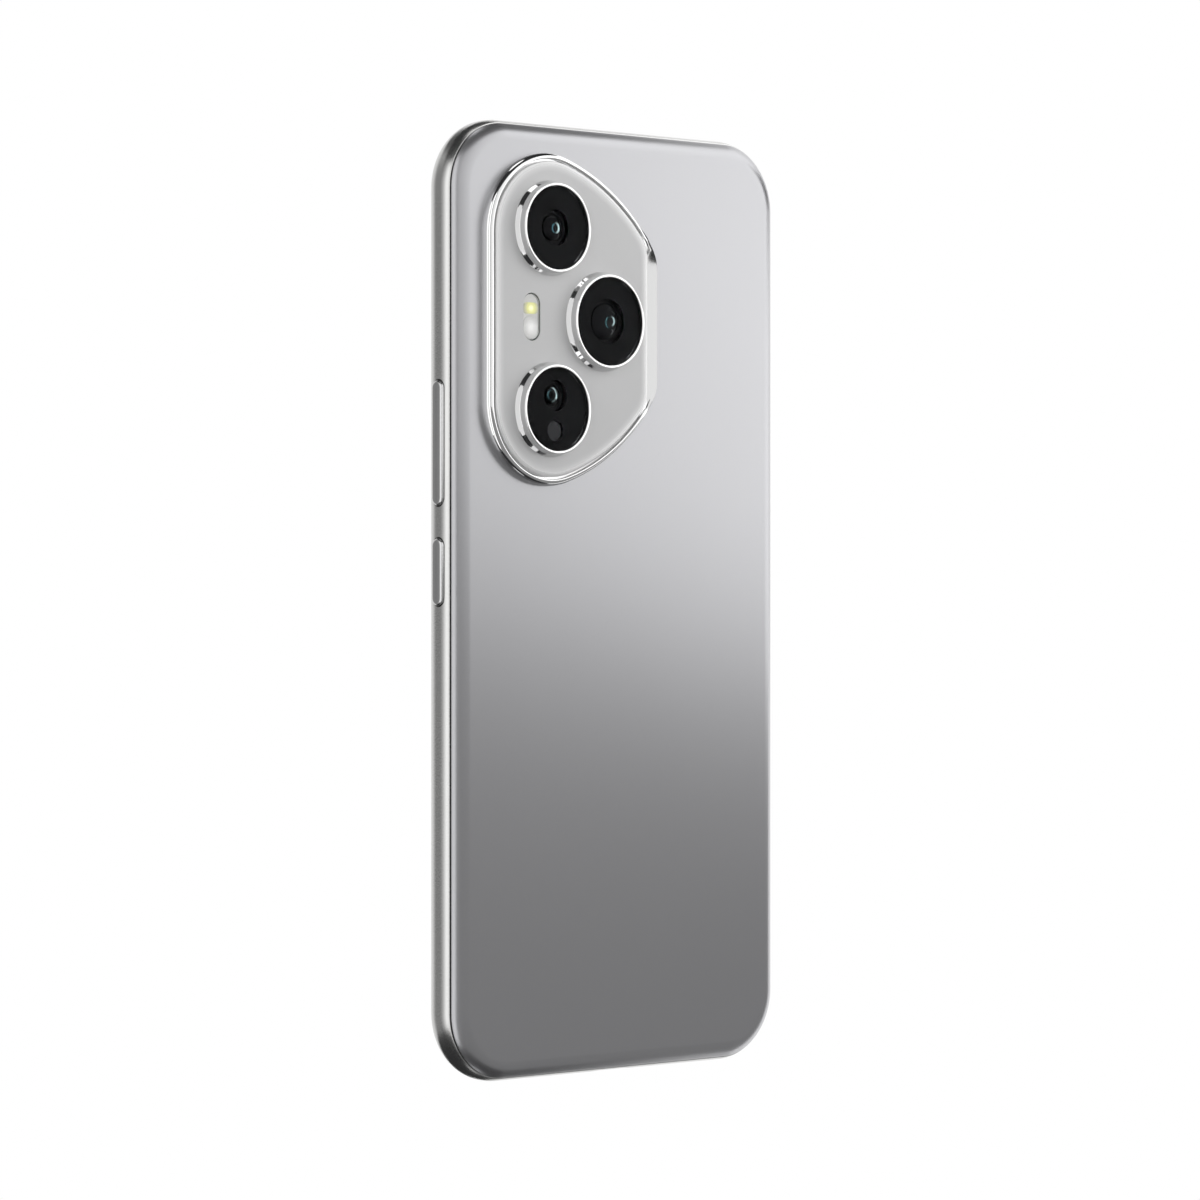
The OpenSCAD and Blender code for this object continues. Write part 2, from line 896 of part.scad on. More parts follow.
module motor_housing() {
    color([0.68, 0.68, 0.7])
        difference() {
            box(motor_x, [motor_y[0], motor_y[1] - motor_lid_t], motor_z);
            box([motor_x[0] + motor_wall, motor_x[1] - motor_wall], [motor_y[0] + motor_wall, rear],
                [motor_z[0] + motor_wall, motor_z[1] - motor_wall]);
        }
}

module motor_lid() {
    color([0.68, 0.68, 0.7])
        box(motor_x, [motor_y[1] - motor_lid_t, motor_y[1]], motor_z);
}

module motor_mass() {
    color([0.4, 0.4, 0.42])
        box(mass_x, mass_y, mass_z);
}

// ---------- keys ----------

module key_slice(l, z, inset, x) {
    slab_x(x)
        translate([0, z])
            polygon(pill_pts(key_w - 2 * inset, l - 2 * inset));
}

module key(l, z, nubs) {
    face = side + key_rise;
    color([0.82, 0.82, 0.83]) {
        key_slice(l, z, 0, [flange_x[1] - eps, face - key_bevel]);
        hull() {
            key_slice(l, z, 0, [face - key_bevel - eps, face - key_bevel]);
            key_slice(l, z, key_bevel, [face - eps, face]);
        }
        box(flange_x, [-key_w / 2 - flange_over, key_w / 2 + flange_over],
            [z - l / 2 - flange_over, z + l / 2 + flange_over]);
        for (n = nubs)
            rod_x([0, n], nub_r, [nub_x, flange_x[0] + eps]);
    }
}

module volume_rocker() {
    key(volume_l, volume_z, [dome_z[1], dome_z[2]]);
    color([0.82, 0.82, 0.83])
        rod_y([flange_x[1], volume_z], rib_r, [-rib_half, rib_half]);
}

module power_key() {
    key(power_l, power_z, [dome_z[0]]);
}

module key_domes() {
    color([0.8, 0.78, 0.7])
        for (z = dome_z)
            rod_x([0, z], dome_r, [dome_x - dome_t, dome_x]);
}

module key_board() {
    x = dome_x - dome_t;
    color([0.72, 0.45, 0.12])
        box([x - key_board_t, x], [-key_board_half, key_board_half], key_board_z);
}

module key_bracket() {
    x = dome_x - dome_t - key_board_t;
    color([0.6, 0.6, 0.62])
        box([x - key_bracket_t, x], [floor_y, bracket_top], key_board_z);
}

// ---------- tray ----------

module sim_tray() {
    seat_x = tray_end_x - seat_rim - seat_l;
    seat_z = (tray_z[0] + tray_z[1] - seat_w) / 2;
    color([0.78, 0.78, 0.77])
        difference() {
            union() {
                slab_x([-side, -side + door_t])
                    door_outline(0);
                box([-side + door_t - eps, tray_end_x], [-tray_t / 2, tray_t / 2], tray_z);
            }
            box([seat_x, seat_x + seat_l], [-past, past], [seat_z, seat_z + seat_w]);
            rod_x([0, pin_z], pin_hole_r, [-side - past, -side + door_t + past]);
        }
}

module sim_tray_gasket() {
    color([0.15, 0.15, 0.16])
        difference() {
            box([-side + door_t, -side + door_t + gasket_t], [-gasket_half, gasket_half],
                tray_z + [-gasket_over, gasket_over]);
            box([-side, tray_end_x], [-tray_t / 2, tray_t / 2], tray_z);
        }
}

module sim_cage() {
    color([0.74, 0.74, 0.76])
        union() {
            difference() {
                box(cage_x, [deck_y, deck_y + cage_h], cage_z);
                box(cage_x + [-past, past], [deck_y + cage_t, deck_y + cage_h - cage_t],
                    cage_z + [cage_t, -cage_t]);
            }
            box([cage_x[1] - eps, pivot_plate_x], [deck_y, deck_y + cage_t], pivot_plate_z);
            rod_y(pivot_at, pivot_r, [deck_y + cage_t - eps, lever_t / 2 + spare_t]);
        }
}

module sim_ejector() {
    x = [pivot_at[0] - lever_w / 2, pivot_at[0] + lever_w / 2];
    z = [lever_low, pivot_at[1] + lever_end];
    color([0.6, 0.6, 0.58])
        difference() {
            union() {
                slab_y([-lever_t / 2, lever_t / 2])
                    polygon([[nose_x, z[0]], [x[1], z[0]], [x[1], z[1]], [x[0], z[1]],
                             [x[0], z[0] + 2 * nose_h], [nose_x, z[0] + nose_h]]);
                rod_y(pivot_at, hub_r, [-lever_t / 2, lever_t / 2]);
            }
            rod_y(pivot_at, pivot_r + pivot_gap, [-past, past]);
        }
}

// ---------- fasteners ----------

module board_screws() {
    color([0.55, 0.55, 0.57])
        for (p = screws) {
            rod_y(p, head_r, [deck_y, deck_y + head_t]);
            rod_y(p, screw_r, [ledge_y + screw_end, deck_y + eps]);
        }
}

mid_frame();
chassis_plate();
rear_cover_glass();
rear_gasket();
front_cover_glass();
front_gasket();
display_panel();
display_flex();
fingerprint_sensor();
camera_trim();
camera_plate();
lens_ring(upper_lens);  // lens_ring_upper
lens_ring(main_lens);  // lens_ring_main
lens_ring(lower_lens);  // lens_ring_lower
lens_glass(upper_lens);  // lens_glass_upper
lens_glass(main_lens);  // lens_glass_main
lens_glass(lower_lens);  // lens_glass_lower
camera_housing(upper_lens);  // camera_housing_upper
camera_housing(main_lens);  // camera_housing_main
camera_housing(lower_lens);  // camera_housing_lower
carrier(upper_lens);  // carrier_upper
carrier(main_lens);  // carrier_main
carrier(lower_lens);  // carrier_lower
light_sensor();
flash_lens();
flash_led_warm();
flash_led_white();
flash_board();
front_camera();
earpiece();
earpiece_mesh();
loudspeaker();
speaker_mesh();
microphones();
receptacle_shell();
receptacle_tongue();
main_board();
shield_can_large();
shield_can_small();
board_cover();
sub_board();
main_flex();
battery();
battery_tail();
charge_coil();
coil_shield();
heat_spreader();
motor_housing();
motor_lid();
motor_mass();
volume_rocker();
power_key();
key_domes();
key_board();
key_bracket();
sim_tray();
sim_tray_gasket();
sim_cage();
sim_ejector();
board_screws();
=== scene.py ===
"""Looks of a slab phone seen from behind: satin metal frame, satin glass back, polished camera island.

Shapes are made in millimetres in the CAD model's frame and scaled to metres when a mesh is finished.
"""
import json
import math

import bmesh
import bpy
from mathutils import Matrix, Vector
from mathutils.geometry import tessellate_polygon


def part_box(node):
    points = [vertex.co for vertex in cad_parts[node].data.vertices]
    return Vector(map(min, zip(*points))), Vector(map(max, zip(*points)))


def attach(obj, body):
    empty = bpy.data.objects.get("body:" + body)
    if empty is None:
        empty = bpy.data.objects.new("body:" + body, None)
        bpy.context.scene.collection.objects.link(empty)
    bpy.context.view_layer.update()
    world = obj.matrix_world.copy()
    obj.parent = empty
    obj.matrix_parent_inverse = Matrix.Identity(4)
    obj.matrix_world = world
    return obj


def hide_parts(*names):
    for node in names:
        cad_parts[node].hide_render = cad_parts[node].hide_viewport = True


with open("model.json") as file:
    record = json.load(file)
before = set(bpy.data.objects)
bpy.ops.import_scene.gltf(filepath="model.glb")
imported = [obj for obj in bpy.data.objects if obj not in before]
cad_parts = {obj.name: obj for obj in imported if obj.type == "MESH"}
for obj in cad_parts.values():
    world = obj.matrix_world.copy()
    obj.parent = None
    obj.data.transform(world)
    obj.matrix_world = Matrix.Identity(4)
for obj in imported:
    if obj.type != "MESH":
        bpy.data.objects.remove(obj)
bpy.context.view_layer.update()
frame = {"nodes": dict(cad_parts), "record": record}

MM = 0.001

# ---------- sizes from the CAD model ----------


def span(node, axis):
    """Lowest and highest coordinate of a CAD node along axis 0, 1 or 2, in mm."""
    low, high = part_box(node)
    return low[axis] / MM, high[axis] / MM


SIDE = span("mid_frame", 0)[1]
TOP = span("mid_frame", 2)[1]
MID = TOP / 2
REAR = span("rear_cover_glass", 1)[1]
FRONT = span("front_cover_glass", 1)[0]
PLATE_Y, PLATE_TOP = span("camera_plate", 1)
TRIM_TOP = span("camera_trim", 1)[1]
RING_TOP = span("lens_ring_main", 1)[1]
COVER_Y, COVER_TOP = span("lens_glass_main", 1)
KEY_X = span("power_key", 0)[1]

# Round corners and edges, and the joints between frame and glass
CORNER_R, EDGE_R = 12.0, 3.6
EDGE_Q, EDGE_Y = CORNER_R - EDGE_R, REAR - EDGE_R
RIM_REAR, RIM_FRONT = 2.28, -3.2
SEAL = 0.24
WALL_Q, LEDGE_Q, LEDGE_Y = 10.4, 9.4, -2.55
REAR_GLASS_T = 0.6
GLASS_BACK = -3.33

# Camera island in plan: three tangent arcs per half as (centre x, centre z above the middle, radius)
ISLAND_Z = MID + 47.2
ARC_A = (18.0, 14.0, 14.0)
ARC_B = (25.456, -10.386, 39.5)
ARC_C = (-0.899, 9.474, 6.5)
A_END, B_END = 107.0, 143.0
FLANK_X, FLANK_DROP = -4.1, 0.26

# Lenses as name: (x, z, cover glass radius, barrel radius, barrel's height above the glass centre)
LENSES = {
    "upper": (18.4, ISLAND_Z + 15.2, 7.0, 4.0, 0.0),
    "main": (6.4, ISLAND_Z, 7.45, 4.9, 0.0),
    "lower": (18.4, ISLAND_Z - 15.2, 7.0, 3.4, 2.3),
}
RING_LIP = 0.5
SENSOR_AT, SENSOR_R = (18.4, ISLAND_Z - 18.8), 1.75
FLASH_AT, FLASH_W, FLASH_L = (22.6, ISLAND_Z + 0.2), 3.8, 8.0

# Keys, tray and openings
KEY_W, KEY_GAP = 2.6, 0.12
KEYS = {"volume_rocker": (106.5, 20.8, (100.0, 113.0)), "power_key": (85.1, 11.2, (85.1,))}
FLANGE_X, NUB_X = (35.75, 36.1), 35.6
DOOR_Z, DOOR_W, DOOR_T = (110.0, 126.4), 2.2, 1.1
MOUTH = (8.34, 2.56)
FRONT_CAM_Z = TOP - 7.2

# ---------- mesh building ----------


def arc(cx, cy, r, a0, a1, n):
    """Points on an arc from a0 to a1 degrees."""
    angles = [math.radians(a0 + (a1 - a0) * i / n) for i in range(n + 1)]
    return [(cx + r * math.cos(a), cy + r * math.sin(a)) for a in angles]


def soften(points, corners, r, n=4):
    """The open line with the corners at these indices rounded off, starting r away from each."""
    out = []
    for i, p in enumerate(points):
        if i not in corners:
            out.append(p)
            continue
        here = Vector(p)
        before = here + (Vector(points[i - 1]) - here).normalized() * r
        after = here + (Vector(points[i + 1]) - here).normalized() * r
        for k in range(n + 1):
            t = k / n
            q = before * (1 - t) ** 2 + here * (2 * t * (1 - t)) + after * t**2
            out.append((q.x, q.y))
    return out


class Shell:
    """Vertices in mm and faces of one piece, gathered ring by ring."""

    def __init__(self):
        self.v, self.f = [], []

    def ring(self, points):
        start = len(self.v)
        self.v += [tuple(p) for p in points]
        return list(range(start, len(self.v)))

    def skin(self, a, b):
        n = len(a)
        for i in range(n):
            j = (i + 1) % n
            self.f.append((a[i], a[j], b[j], b[i]))

    def cap(self, a):
        self.f.append(tuple(a))

    def fill(self, axis, outer, *holes):
        """Flat face inside the ring outer, with holes, across that axis."""
        loops = [outer, *holes]
        keep = [k for k in range(3) if k != axis]
        flat = [[Vector((self.v[i][keep[0]], self.v[i][keep[1]], 0)) for i in l] for l in loops]
        index = [i for l in loops for i in l]
        for tri in tessellate_polygon(flat):
            self.f.append(tuple(index[k] for k in tri))

    def loft(self, rings, loop=False, caps=False):
        ids = [self.ring(r) for r in rings]
        for a, b in zip(ids, ids[1:] + ids[:1] if loop else ids[1:]):
            self.skin(a, b)
        if caps:
            self.cap(ids[0])
            self.cap(ids[-1])
        return ids

    def box(self, x, y, z):
        ids = self.ring([(a, b, c) for a in x for b in y for c in z])
        for f in ((0, 1, 3, 2), (4, 6, 7, 5), (0, 4, 5, 1), (2, 3, 7, 6), (0, 2, 6, 4), (1, 5, 7, 3)):
            self.f.append(tuple(ids[k] for k in f))

    def mesh(self, name):
        me = bpy.data.meshes.new(name)
        me.from_pydata(self.v, [], self.f)
        bm = bmesh.new()
        bm.from_mesh(me)
        bmesh.ops.remove_doubles(bm, verts=bm.verts, dist=1e-4)
        bmesh.ops.dissolve_degenerate(bm, edges=bm.edges, dist=1e-5)
        bmesh.ops.recalc_face_normals(bm, faces=bm.faces)
        bm.to_mesh(me)
        bm.free()
        return me

    def piece(self, name, cutter=None, sharp=28):
        """Blender object of the shell, less the cutter, in metres and shaded smooth."""
        me = self.mesh(name)
        ob = bpy.data.objects.new(name, me)
        bpy.context.scene.collection.objects.link(ob)
        if cutter:
            tool = bpy.data.objects.new(name + "_cut", cutter.mesh(name + "_cut"))
            bpy.context.scene.collection.objects.link(tool)
            mod = ob.modifiers.new("cut", "BOOLEAN")
            mod.operation, mod.solver, mod.object = "DIFFERENCE", "EXACT", tool
            graph = bpy.context.evaluated_depsgraph_get()
            me = bpy.data.meshes.new_from_object(ob.evaluated_get(graph))
            ob.modifiers.clear()
            ob.data = me
            bpy.data.objects.remove(tool)
        me.transform(Matrix.Scale(MM, 4))
        me.shade_smooth()
        me.set_sharp_from_angle(angle=math.radians(sharp))
        return ob


def body_ring(q, y, n=28):
    """Rounded rectangle at distance q from the corners' axes."""
    pts = []
    for k in range(4):
        cx = (1 if k in (0, 3) else -1) * (SIDE - CORNER_R)
        cz = MID + (1 if k < 2 else -1) * (MID - CORNER_R)
        pts += arc(cx, cz, q, 90 * k, 90 * k + 90, n)
    return [(x, y, z) for x, z in pts]


def pill(w, l, n=20):
    """Pill outline, long axis along the second coordinate."""
    half = l / 2 - w / 2
    return arc(0, half, w / 2, 0, 180, n) + arc(0, -half, w / 2, 180, 360, n)


def edge_angle(y, r=EDGE_R):
    return math.degrees(math.asin((abs(y) - EDGE_Y) / r))


def turned(at, profile, n=96, shell=None, loop=True):
    """Profile of (radius, y) turned round an axis along y through at = (x, z)."""
    shell = shell or Shell()
    rings = []
    for r, y in profile:
        rings.append([(at[0] + r * c, y, at[1] + r * s) for c, s in
                      [(math.cos(2 * math.pi * i / n), math.sin(2 * math.pi * i / n)) for i in range(n)]])
    shell.loft(rings, loop=loop)
    return shell


# ---------- materials ----------


def material(name, color, metallic=0.0, rough=0.5, grain=0.0, grain_size=0.08, tone=0.03, tone_size=6.0,
             rough_var=0.04, **sockets):
    """Principled material with a drifting tone, uneven roughness and a fine bump, all in object space.
    grain is the bump's height and grain_size its size in mm; tone_size is the drift's size in mm."""
    mat = bpy.data.materials.new(name)
    mat.use_nodes = True
    nt = mat.node_tree
    bsdf = nt.nodes["Principled BSDF"]
    coord = nt.nodes.new("ShaderNodeTexCoord")
    drift = nt.nodes.new("ShaderNodeTexNoise")
    drift.inputs["Scale"].default_value = 1 / (tone_size * MM)
    drift.inputs["Detail"].default_value = 3
    nt.links.new(coord.outputs["Object"], drift.inputs["Vector"])
    ramp = nt.nodes.new("ShaderNodeMapRange")
    for key, value in (("From Min", 0.3), ("From Max", 0.7), ("To Min", 1 - tone), ("To Max", 1 + tone)):
        ramp.inputs[key].default_value = value
    nt.links.new(drift.outputs["Fac"], ramp.inputs["Value"])
    tint = nt.nodes.new("ShaderNodeVectorMath")
    tint.operation = "SCALE"
    tint.inputs[0].default_value = color
    nt.links.new(ramp.outputs["Result"], tint.inputs["Scale"])
    nt.links.new(tint.outputs["Vector"], bsdf.inputs["Base Color"])
    gloss = nt.nodes.new("ShaderNodeMapRange")
    for key, value in (("From Min", 0.3), ("From Max", 0.7), ("To Min", max(rough - rough_var, 0)),
                       ("To Max", rough + rough_var)):
        gloss.inputs[key].default_value = value
    fine = nt.nodes.new("ShaderNodeTexNoise")
    fine.inputs["Scale"].default_value = 1 / (grain_size * MM)
    fine.inputs["Detail"].default_value = 2
    nt.links.new(coord.outputs["Object"], fine.inputs["Vector"])
    nt.links.new(fine.outputs["Fac"], gloss.inputs["Value"])
    nt.links.new(gloss.outputs["Result"], bsdf.inputs["Roughness"])
    if grain:
        bump = nt.nodes.new("ShaderNodeBump")
        bump.inputs["Strength"].default_value = 1
        bump.inputs["Distance"].default_value = grain * MM
        nt.links.new(fine.outputs["Fac"], bump.inputs["Height"])
        nt.links.new(bump.outputs["Normal"], bsdf.inputs["Normal"])
    bsdf.inputs["Metallic"].default_value = metallic
    for key, value in sockets.items():
        bsdf.inputs[key.replace("_", " ")].default_value = value
    return mat


def polish(mat, axis, across, color, rough):
    """Changes a material's colour and roughness smoothly along an object axis, across = (from, to) in mm."""
    nt = mat.node_tree
    bsdf = nt.nodes["Principled BSDF"]
    coord = nt.nodes.new("ShaderNodeTexCoord")
    split = nt.nodes.new("ShaderNodeSeparateXYZ")
    nt.links.new(coord.outputs["Object"], split.inputs["Vector"])
    share = nt.nodes.new("ShaderNodeMapRange")
    share.inputs["From Min"].default_value = across[0] * MM
    share.inputs["From Max"].default_value = across[1] * MM
    nt.links.new(split.outputs[axis], share.inputs["Value"])
    for socket, value, kind in (("Base Color", color, "VECTOR"), ("Roughness", rough, "FLOAT")):
        blend = nt.nodes.new("ShaderNodeMix")
        blend.data_type = kind
        ins = [i for i in blend.inputs if i.enabled and i.name in ("Factor", "A", "B")]
        nt.links.new(share.outputs["Result"], ins[0])
        nt.links.new(bsdf.inputs[socket].links[0].from_socket, ins[1])
        ins[2].default_value = value
        nt.links.new([o for o in blend.outputs if o.enabled][0], bsdf.inputs[socket])


SLOT_LOOKS = {
    "frame_metal": dict(color=(0.70, 0.70, 0.69), metallic=1.0, rough=0.27, grain=0.0006, tone=0.012),
    "key_metal": dict(color=(0.72, 0.72, 0.72), metallic=1.0, rough=0.22, grain=0.0004, tone=0.012),
    "inner_plate_metal": dict(color=(0.42, 0.43, 0.45), metallic=0.9, rough=0.5, grain=0.004),
    "rear_glass": dict(color=(0.50, 0.50, 0.515), metallic=0.85, rough=0.29, grain=0.0004, grain_size=0.05,
                       tone=0.006, tone_size=30, rough_var=0.02),
    "front_glass": dict(color=(0.97, 0.97, 0.98), rough=0.0, rough_var=0.0, tone=0.002,
                        Transmission_Weight=1.0, IOR=1.3),
    "display": dict(color=(0.004, 0.004, 0.005), rough=0.12, tone=0.1, Specular_IOR_Level=0.1),
    "seal_black": dict(color=(0.03, 0.03, 0.03), rough=0.8, grain=0.004, tone=0.15),
    "flex_film": dict(color=(0.50, 0.24, 0.05), rough=0.35, tone=0.12, tone_size=2),
    "sensor_black": dict(color=(0.03, 0.03, 0.032), rough=0.5, tone=0.1),
    "trim_polished": dict(color=(0.86, 0.86, 0.86), metallic=1.0, rough=0.08, tone=0.006, rough_var=0.01),
    "island_satin": dict(color=(0.63, 0.63, 0.632), metallic=0.3, rough=0.48, grain=0.0004, tone=0.008),
    "lens_glass": dict(color=(0.95, 0.96, 0.97), rough=0.0, rough_var=0.0, tone=0.002,
                       Transmission_Weight=1.0, IOR=1.05),
    "can_metal": dict(color=(0.50, 0.50, 0.52), metallic=1.0, rough=0.38, grain=0.002),
    "lens_barrel": dict(color=(0.012, 0.012, 0.014), rough=0.45, grain=0.002, tone=0.15, tone_size=1),
    "flash_window": dict(color=(0.98, 0.98, 0.97), rough=0.1, tone=0.005, Transmission_Weight=1.0, IOR=1.25),
    "led_warm": dict(color=(0.95, 0.86, 0.40), rough=0.5, tone=0.03),
    "led_white": dict(color=(0.92, 0.92, 0.92), rough=0.5, tone=0.02),
    "board_green": dict(color=(0.01, 0.09, 0.045), rough=0.35, tone=0.2, tone_size=3, grain=0.003),
    "module_black": dict(color=(0.02, 0.02, 0.022), rough=0.45, grain=0.003, tone=0.12),
    "mesh_dark": dict(color=(0.03, 0.03, 0.03), metallic=0.8, rough=0.5, grain=0.02, grain_size=0.15),
    "plated_steel": dict(color=(0.56, 0.56, 0.57), metallic=1.0, rough=0.3, grain=0.001),
    "battery_wrap": dict(color=(0.03, 0.03, 0.034), rough=0.5, tone=0.15, tone_size=10),
    "copper": dict(color=(0.72, 0.36, 0.20), metallic=1.0, rough=0.32, tone=0.08, tone_size=4),
    "ferrite": dict(color=(0.05, 0.05, 0.052), rough=0.6, tone=0.15),
    "heavy_mass": dict(color=(0.12, 0.12, 0.125), metallic=0.8, rough=0.55, grain=0.006),
}
looks = {slot: material(slot, **look) for slot, look in SLOT_LOOKS.items()}
node_slot = {s["node"]: s["material_slot"] for s in frame["record"]["subparts"]}
body_of = {n: b for b, ns in frame["record"]["behaviour"]["bodies"].items() for n in ns}

for node, ob in frame["nodes"].items():
    ob.data.materials.clear()
    ob.data.materials.append(looks[node_slot[node]])


def stands_for(ob, node, look=None):
    """The piece replaces a CAD node and rides with its body."""
    ob.data.materials.clear()
    ob.data.materials.append(look or looks[node_slot[node]])
    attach(ob, body_of[node])
    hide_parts(node)
    return ob


def joins(ob, body, slot, look=None):
    """The piece is added to a body and takes its finish from a slot."""
    ob.data.materials.clear()
    ob.data.materials.append(look or looks[slot])
    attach(ob, body)
    return ob


# ---------- frame ----------

rear_a, front_a = edge_angle(RIM_REAR), edge_angle(RIM_FRONT)
outside = arc(EDGE_Q, EDGE_Y, EDGE_R, rear_a, 0, 12) + arc(EDGE_Q, -EDGE_Y, EDGE_R, 0, -front_a, 18)
section = [(WALL_Q, RIM_REAR)] + outside + [(LEDGE_Q, RIM_FRONT), (LEDGE_Q, LEDGE_Y), (WALL_Q, LEDGE_Y)]
section = soften(section, (1, len(outside)), 0.07)
band = Shell()
band.loft([body_ring(q, y) for q, y in section], loop=True)

cuts = Shell()
for z, length, _ in KEYS.values():
    outer = pill(KEY_W + 2 * KEY_GAP, length + 2 * KEY_GAP)
    flared = pill(KEY_W + 2 * KEY_GAP + 0.3, length + 2 * KEY_GAP + 0.3)
    cuts.loft([[(x, a, z + b) for a, b in line] for x, line in
               ((SIDE - 4, outer), (SIDE - 0.2, outer), (SIDE + 0.1, flared), (SIDE + 1, flared))], caps=True)
door_mid, door_len = sum(DOOR_Z) / 2, DOOR_Z[1] - DOOR_Z[0]
slot_line = pill(DOOR_W + 0.2, door_len + 0.2)
cuts.loft([[(x, a, door_mid + b) for a, b in slot_line] for x in (-SIDE - 1, -SIDE + 4)], caps=True)
mouth_line = pill(MOUTH[1] + 0.8, MOUTH[0] + 0.8)
cuts.loft([[(b, a, z) for a, b in mouth_line] for z in (-1, 4)], caps=True)


def round_hole(x, r, z_from, z_face, z_past):
    """Drilled hole with a small countersink at the face."""
    steps = [(r, z_from), (r, z_face + (0.12 if z_past < z_face else -0.12)), (r + 0.12, z_face),
             (r + 0.12, z_past)]
    cuts.loft([[(x + k * c, k * s, z) for c, s in
                [(math.cos(math.pi * i / 16), math.sin(math.pi * i / 16)) for i in range(32)]]
               for k, z in steps], caps=True)


for i in range(6):
    round_hole(13.6 + 2.5 * i, 0.65, 4, 0, -1)
round_hole(-11.5, 0.4, 4, 0, -1)
round_hole(-14.0, 0.4, TOP - 4, TOP, TOP + 1)
stands_for(band.piece("frame_band", cutter=cuts), "mid_frame")

# ---------- cover glasses of the body ----------


def island_half(off, n=(30, 12, 12), b_end=B_END, with_c=True):
    """Upper half of the island's outline grown by off, with its outward normals, as ((x, z), (nx, nz))."""
    out = []
    spans = [(ARC_A, 0, A_END, n[0]), (ARC_B, A_END, b_end, n[1])]
    if with_c:
        spans.append((ARC_C, B_END, 180, n[2]))
    for (cx, cz, r), a0, a1, count in spans:
        for i in range(count + 1):
            if out and i == 0:
                continue
            a = math.radians(a0 + (a1 - a0) * i / count)
            nx, nz = math.cos(a), math.sin(a)
            out.append(((cx + (r + off) * nx, cz + (r + off) * nz), (nx, nz)))
    return out


def straight(a, b, count):
    """Points strictly between a and b."""
    return [tuple(a[k] + (b[k] - a[k]) * i / count for k in range(2)) for i in range(1, count)]


def whole(half, sides=8):
    """Closes a half outline by its mirror image, with the straight sides divided."""
    upper = [p for p, _ in half]
    normals = [n for _, n in half]
    lower = [(x, -z) for x, z in reversed(upper)]
    lower_n = [(x, -z) for x, z in reversed(normals)]
    left = straight(upper[-1], lower[0], sides)
    right = straight(lower[-1], upper[0], sides)
    pts = upper + left + lower + right
    nrm = normals + [normals[-1]] * len(left) + lower_n + [normals[0]] * len(right)
    return [(x, ISLAND_Z + z) for x, z in pts], nrm


hole_line, _ = whole(island_half(-1.6))

inner_a = edge_angle(RIM_REAR + SEAL, EDGE_R - REAR_GLASS_T)
outer_a = edge_angle(RIM_REAR + SEAL)
inside_line = arc(EDGE_Q, EDGE_Y, EDGE_R - REAR_GLASS_T, 90, inner_a, 20)
outside_line = arc(EDGE_Q, EDGE_Y, EDGE_R, outer_a, 90, 32)
rear_line = [(EDGE_Q - 0.5, REAR - REAR_GLASS_T)] + inside_line + outside_line + [(EDGE_Q - 0.5, REAR)]
rear_line = soften(rear_line, (len(inside_line) + 1,), 0.06)
glass = Shell()
ids = glass.loft([body_ring(q, y) for q, y in rear_line])
low = glass.ring([(x, REAR - REAR_GLASS_T, z) for x, z in hole_line])
high = glass.ring([(x, REAR, z) for x, z in hole_line])
glass.fill(1, ids[0], low)
glass.fill(1, ids[-1], high)
glass.skin(low, high)
stands_for(glass.piece("rear_glass_shell"), "rear_cover_glass")

back_a = edge_angle(GLASS_BACK)
front_line = [(EDGE_Q - 0.5, GLASS_BACK)] + arc(EDGE_Q, -EDGE_Y, EDGE_R, -back_a, -90, 20) + [(EDGE_Q - 0.5, FRONT)]
front_line = soften(front_line, (1,), 0.06)
glass = Shell()
ids = glass.loft([body_ring(q, y) for q, y in front_line])
glass.cap(ids[0])
glass.cap(ids[-1])
slit = Shell()
slit.loft([[(a, y, b) for a, b in [(p[1], TOP - 1.1 + 1.1 + p[0]) for p in pill(2.2 * 2, 11)]]
           for y in (FRONT - 1, GLASS_BACK + 1)], caps=True)
stands_for(glass.piece("front_glass_shell", cutter=slit), "front_cover_glass")

# ---------- camera island ----------

outline_pts, outline_n = whole(island_half(0))


def reach(least, x_limit):
    """Distance inwards from each outline point: least, or as far as the line x = x_limit."""
    out = []
    for (x, _), (nx, _) in zip(outline_pts, outline_n):
        out.append(least if x - least * nx > x_limit else (x - x_limit) / nx)
    return out


def inwards(distances, y):
    """Outline points moved inwards, at height y."""
    return [(x - d * nx, y, z - d * nz) for (x, z), (nx, nz), d in zip(outline_pts, outline_n, distances)]


# Trim's profile as (distance inwards, height over the back): a steep skirt, the crest, then a groove
SKIRT = [(0, 0), (0.005, 0.3), (0.02, 0.62), (0.05, 0.92), (0.1, 1.16), (0.18, 1.38), (0.3, 1.57), (0.45, 1.72),
         (0.62, 1.83), (0.8, 1.89), (0.94, 1.9), (1.02, 1.87), (1.08, 1.74), (1.14, 1.45)]
SEAT_IN, CREST = 1.14, 1.9
FLANK_W, FLANK_FALL = 3.9, 0.86


def smooth(t):
    t = min(max(t, 0), 1)
    return t * t * (3 - 2 * t)


def skirt_height(d, width):
    """Height of the trim at d inwards: the skirt's profile, or the sloping flank where the trim is wide."""
    wide = smooth((width - SEAT_IN) / (FLANK_W - SEAT_IN))
    rise = SKIRT[-1][1] + (CREST - SKIRT[-1][1]) * min(wide * 4, 1)
    for (d0, h0), (d1, h1) in zip(SKIRT, SKIRT[1:]):
        if d <= d1:
            rise = max(h0 + (h1 - h0) * (d - d0) / (d1 - d0), rise if d > 0.88 else 0)
            break
    flank = CREST - FLANK_FALL * wide * max(1 - d / width, 0)
    soft = 0.2
    blend = max(soft - abs(rise - flank), 0) / soft * min(wide * 4, 1)
    return REAR + min(rise, flank) - blend * blend * soft / 4


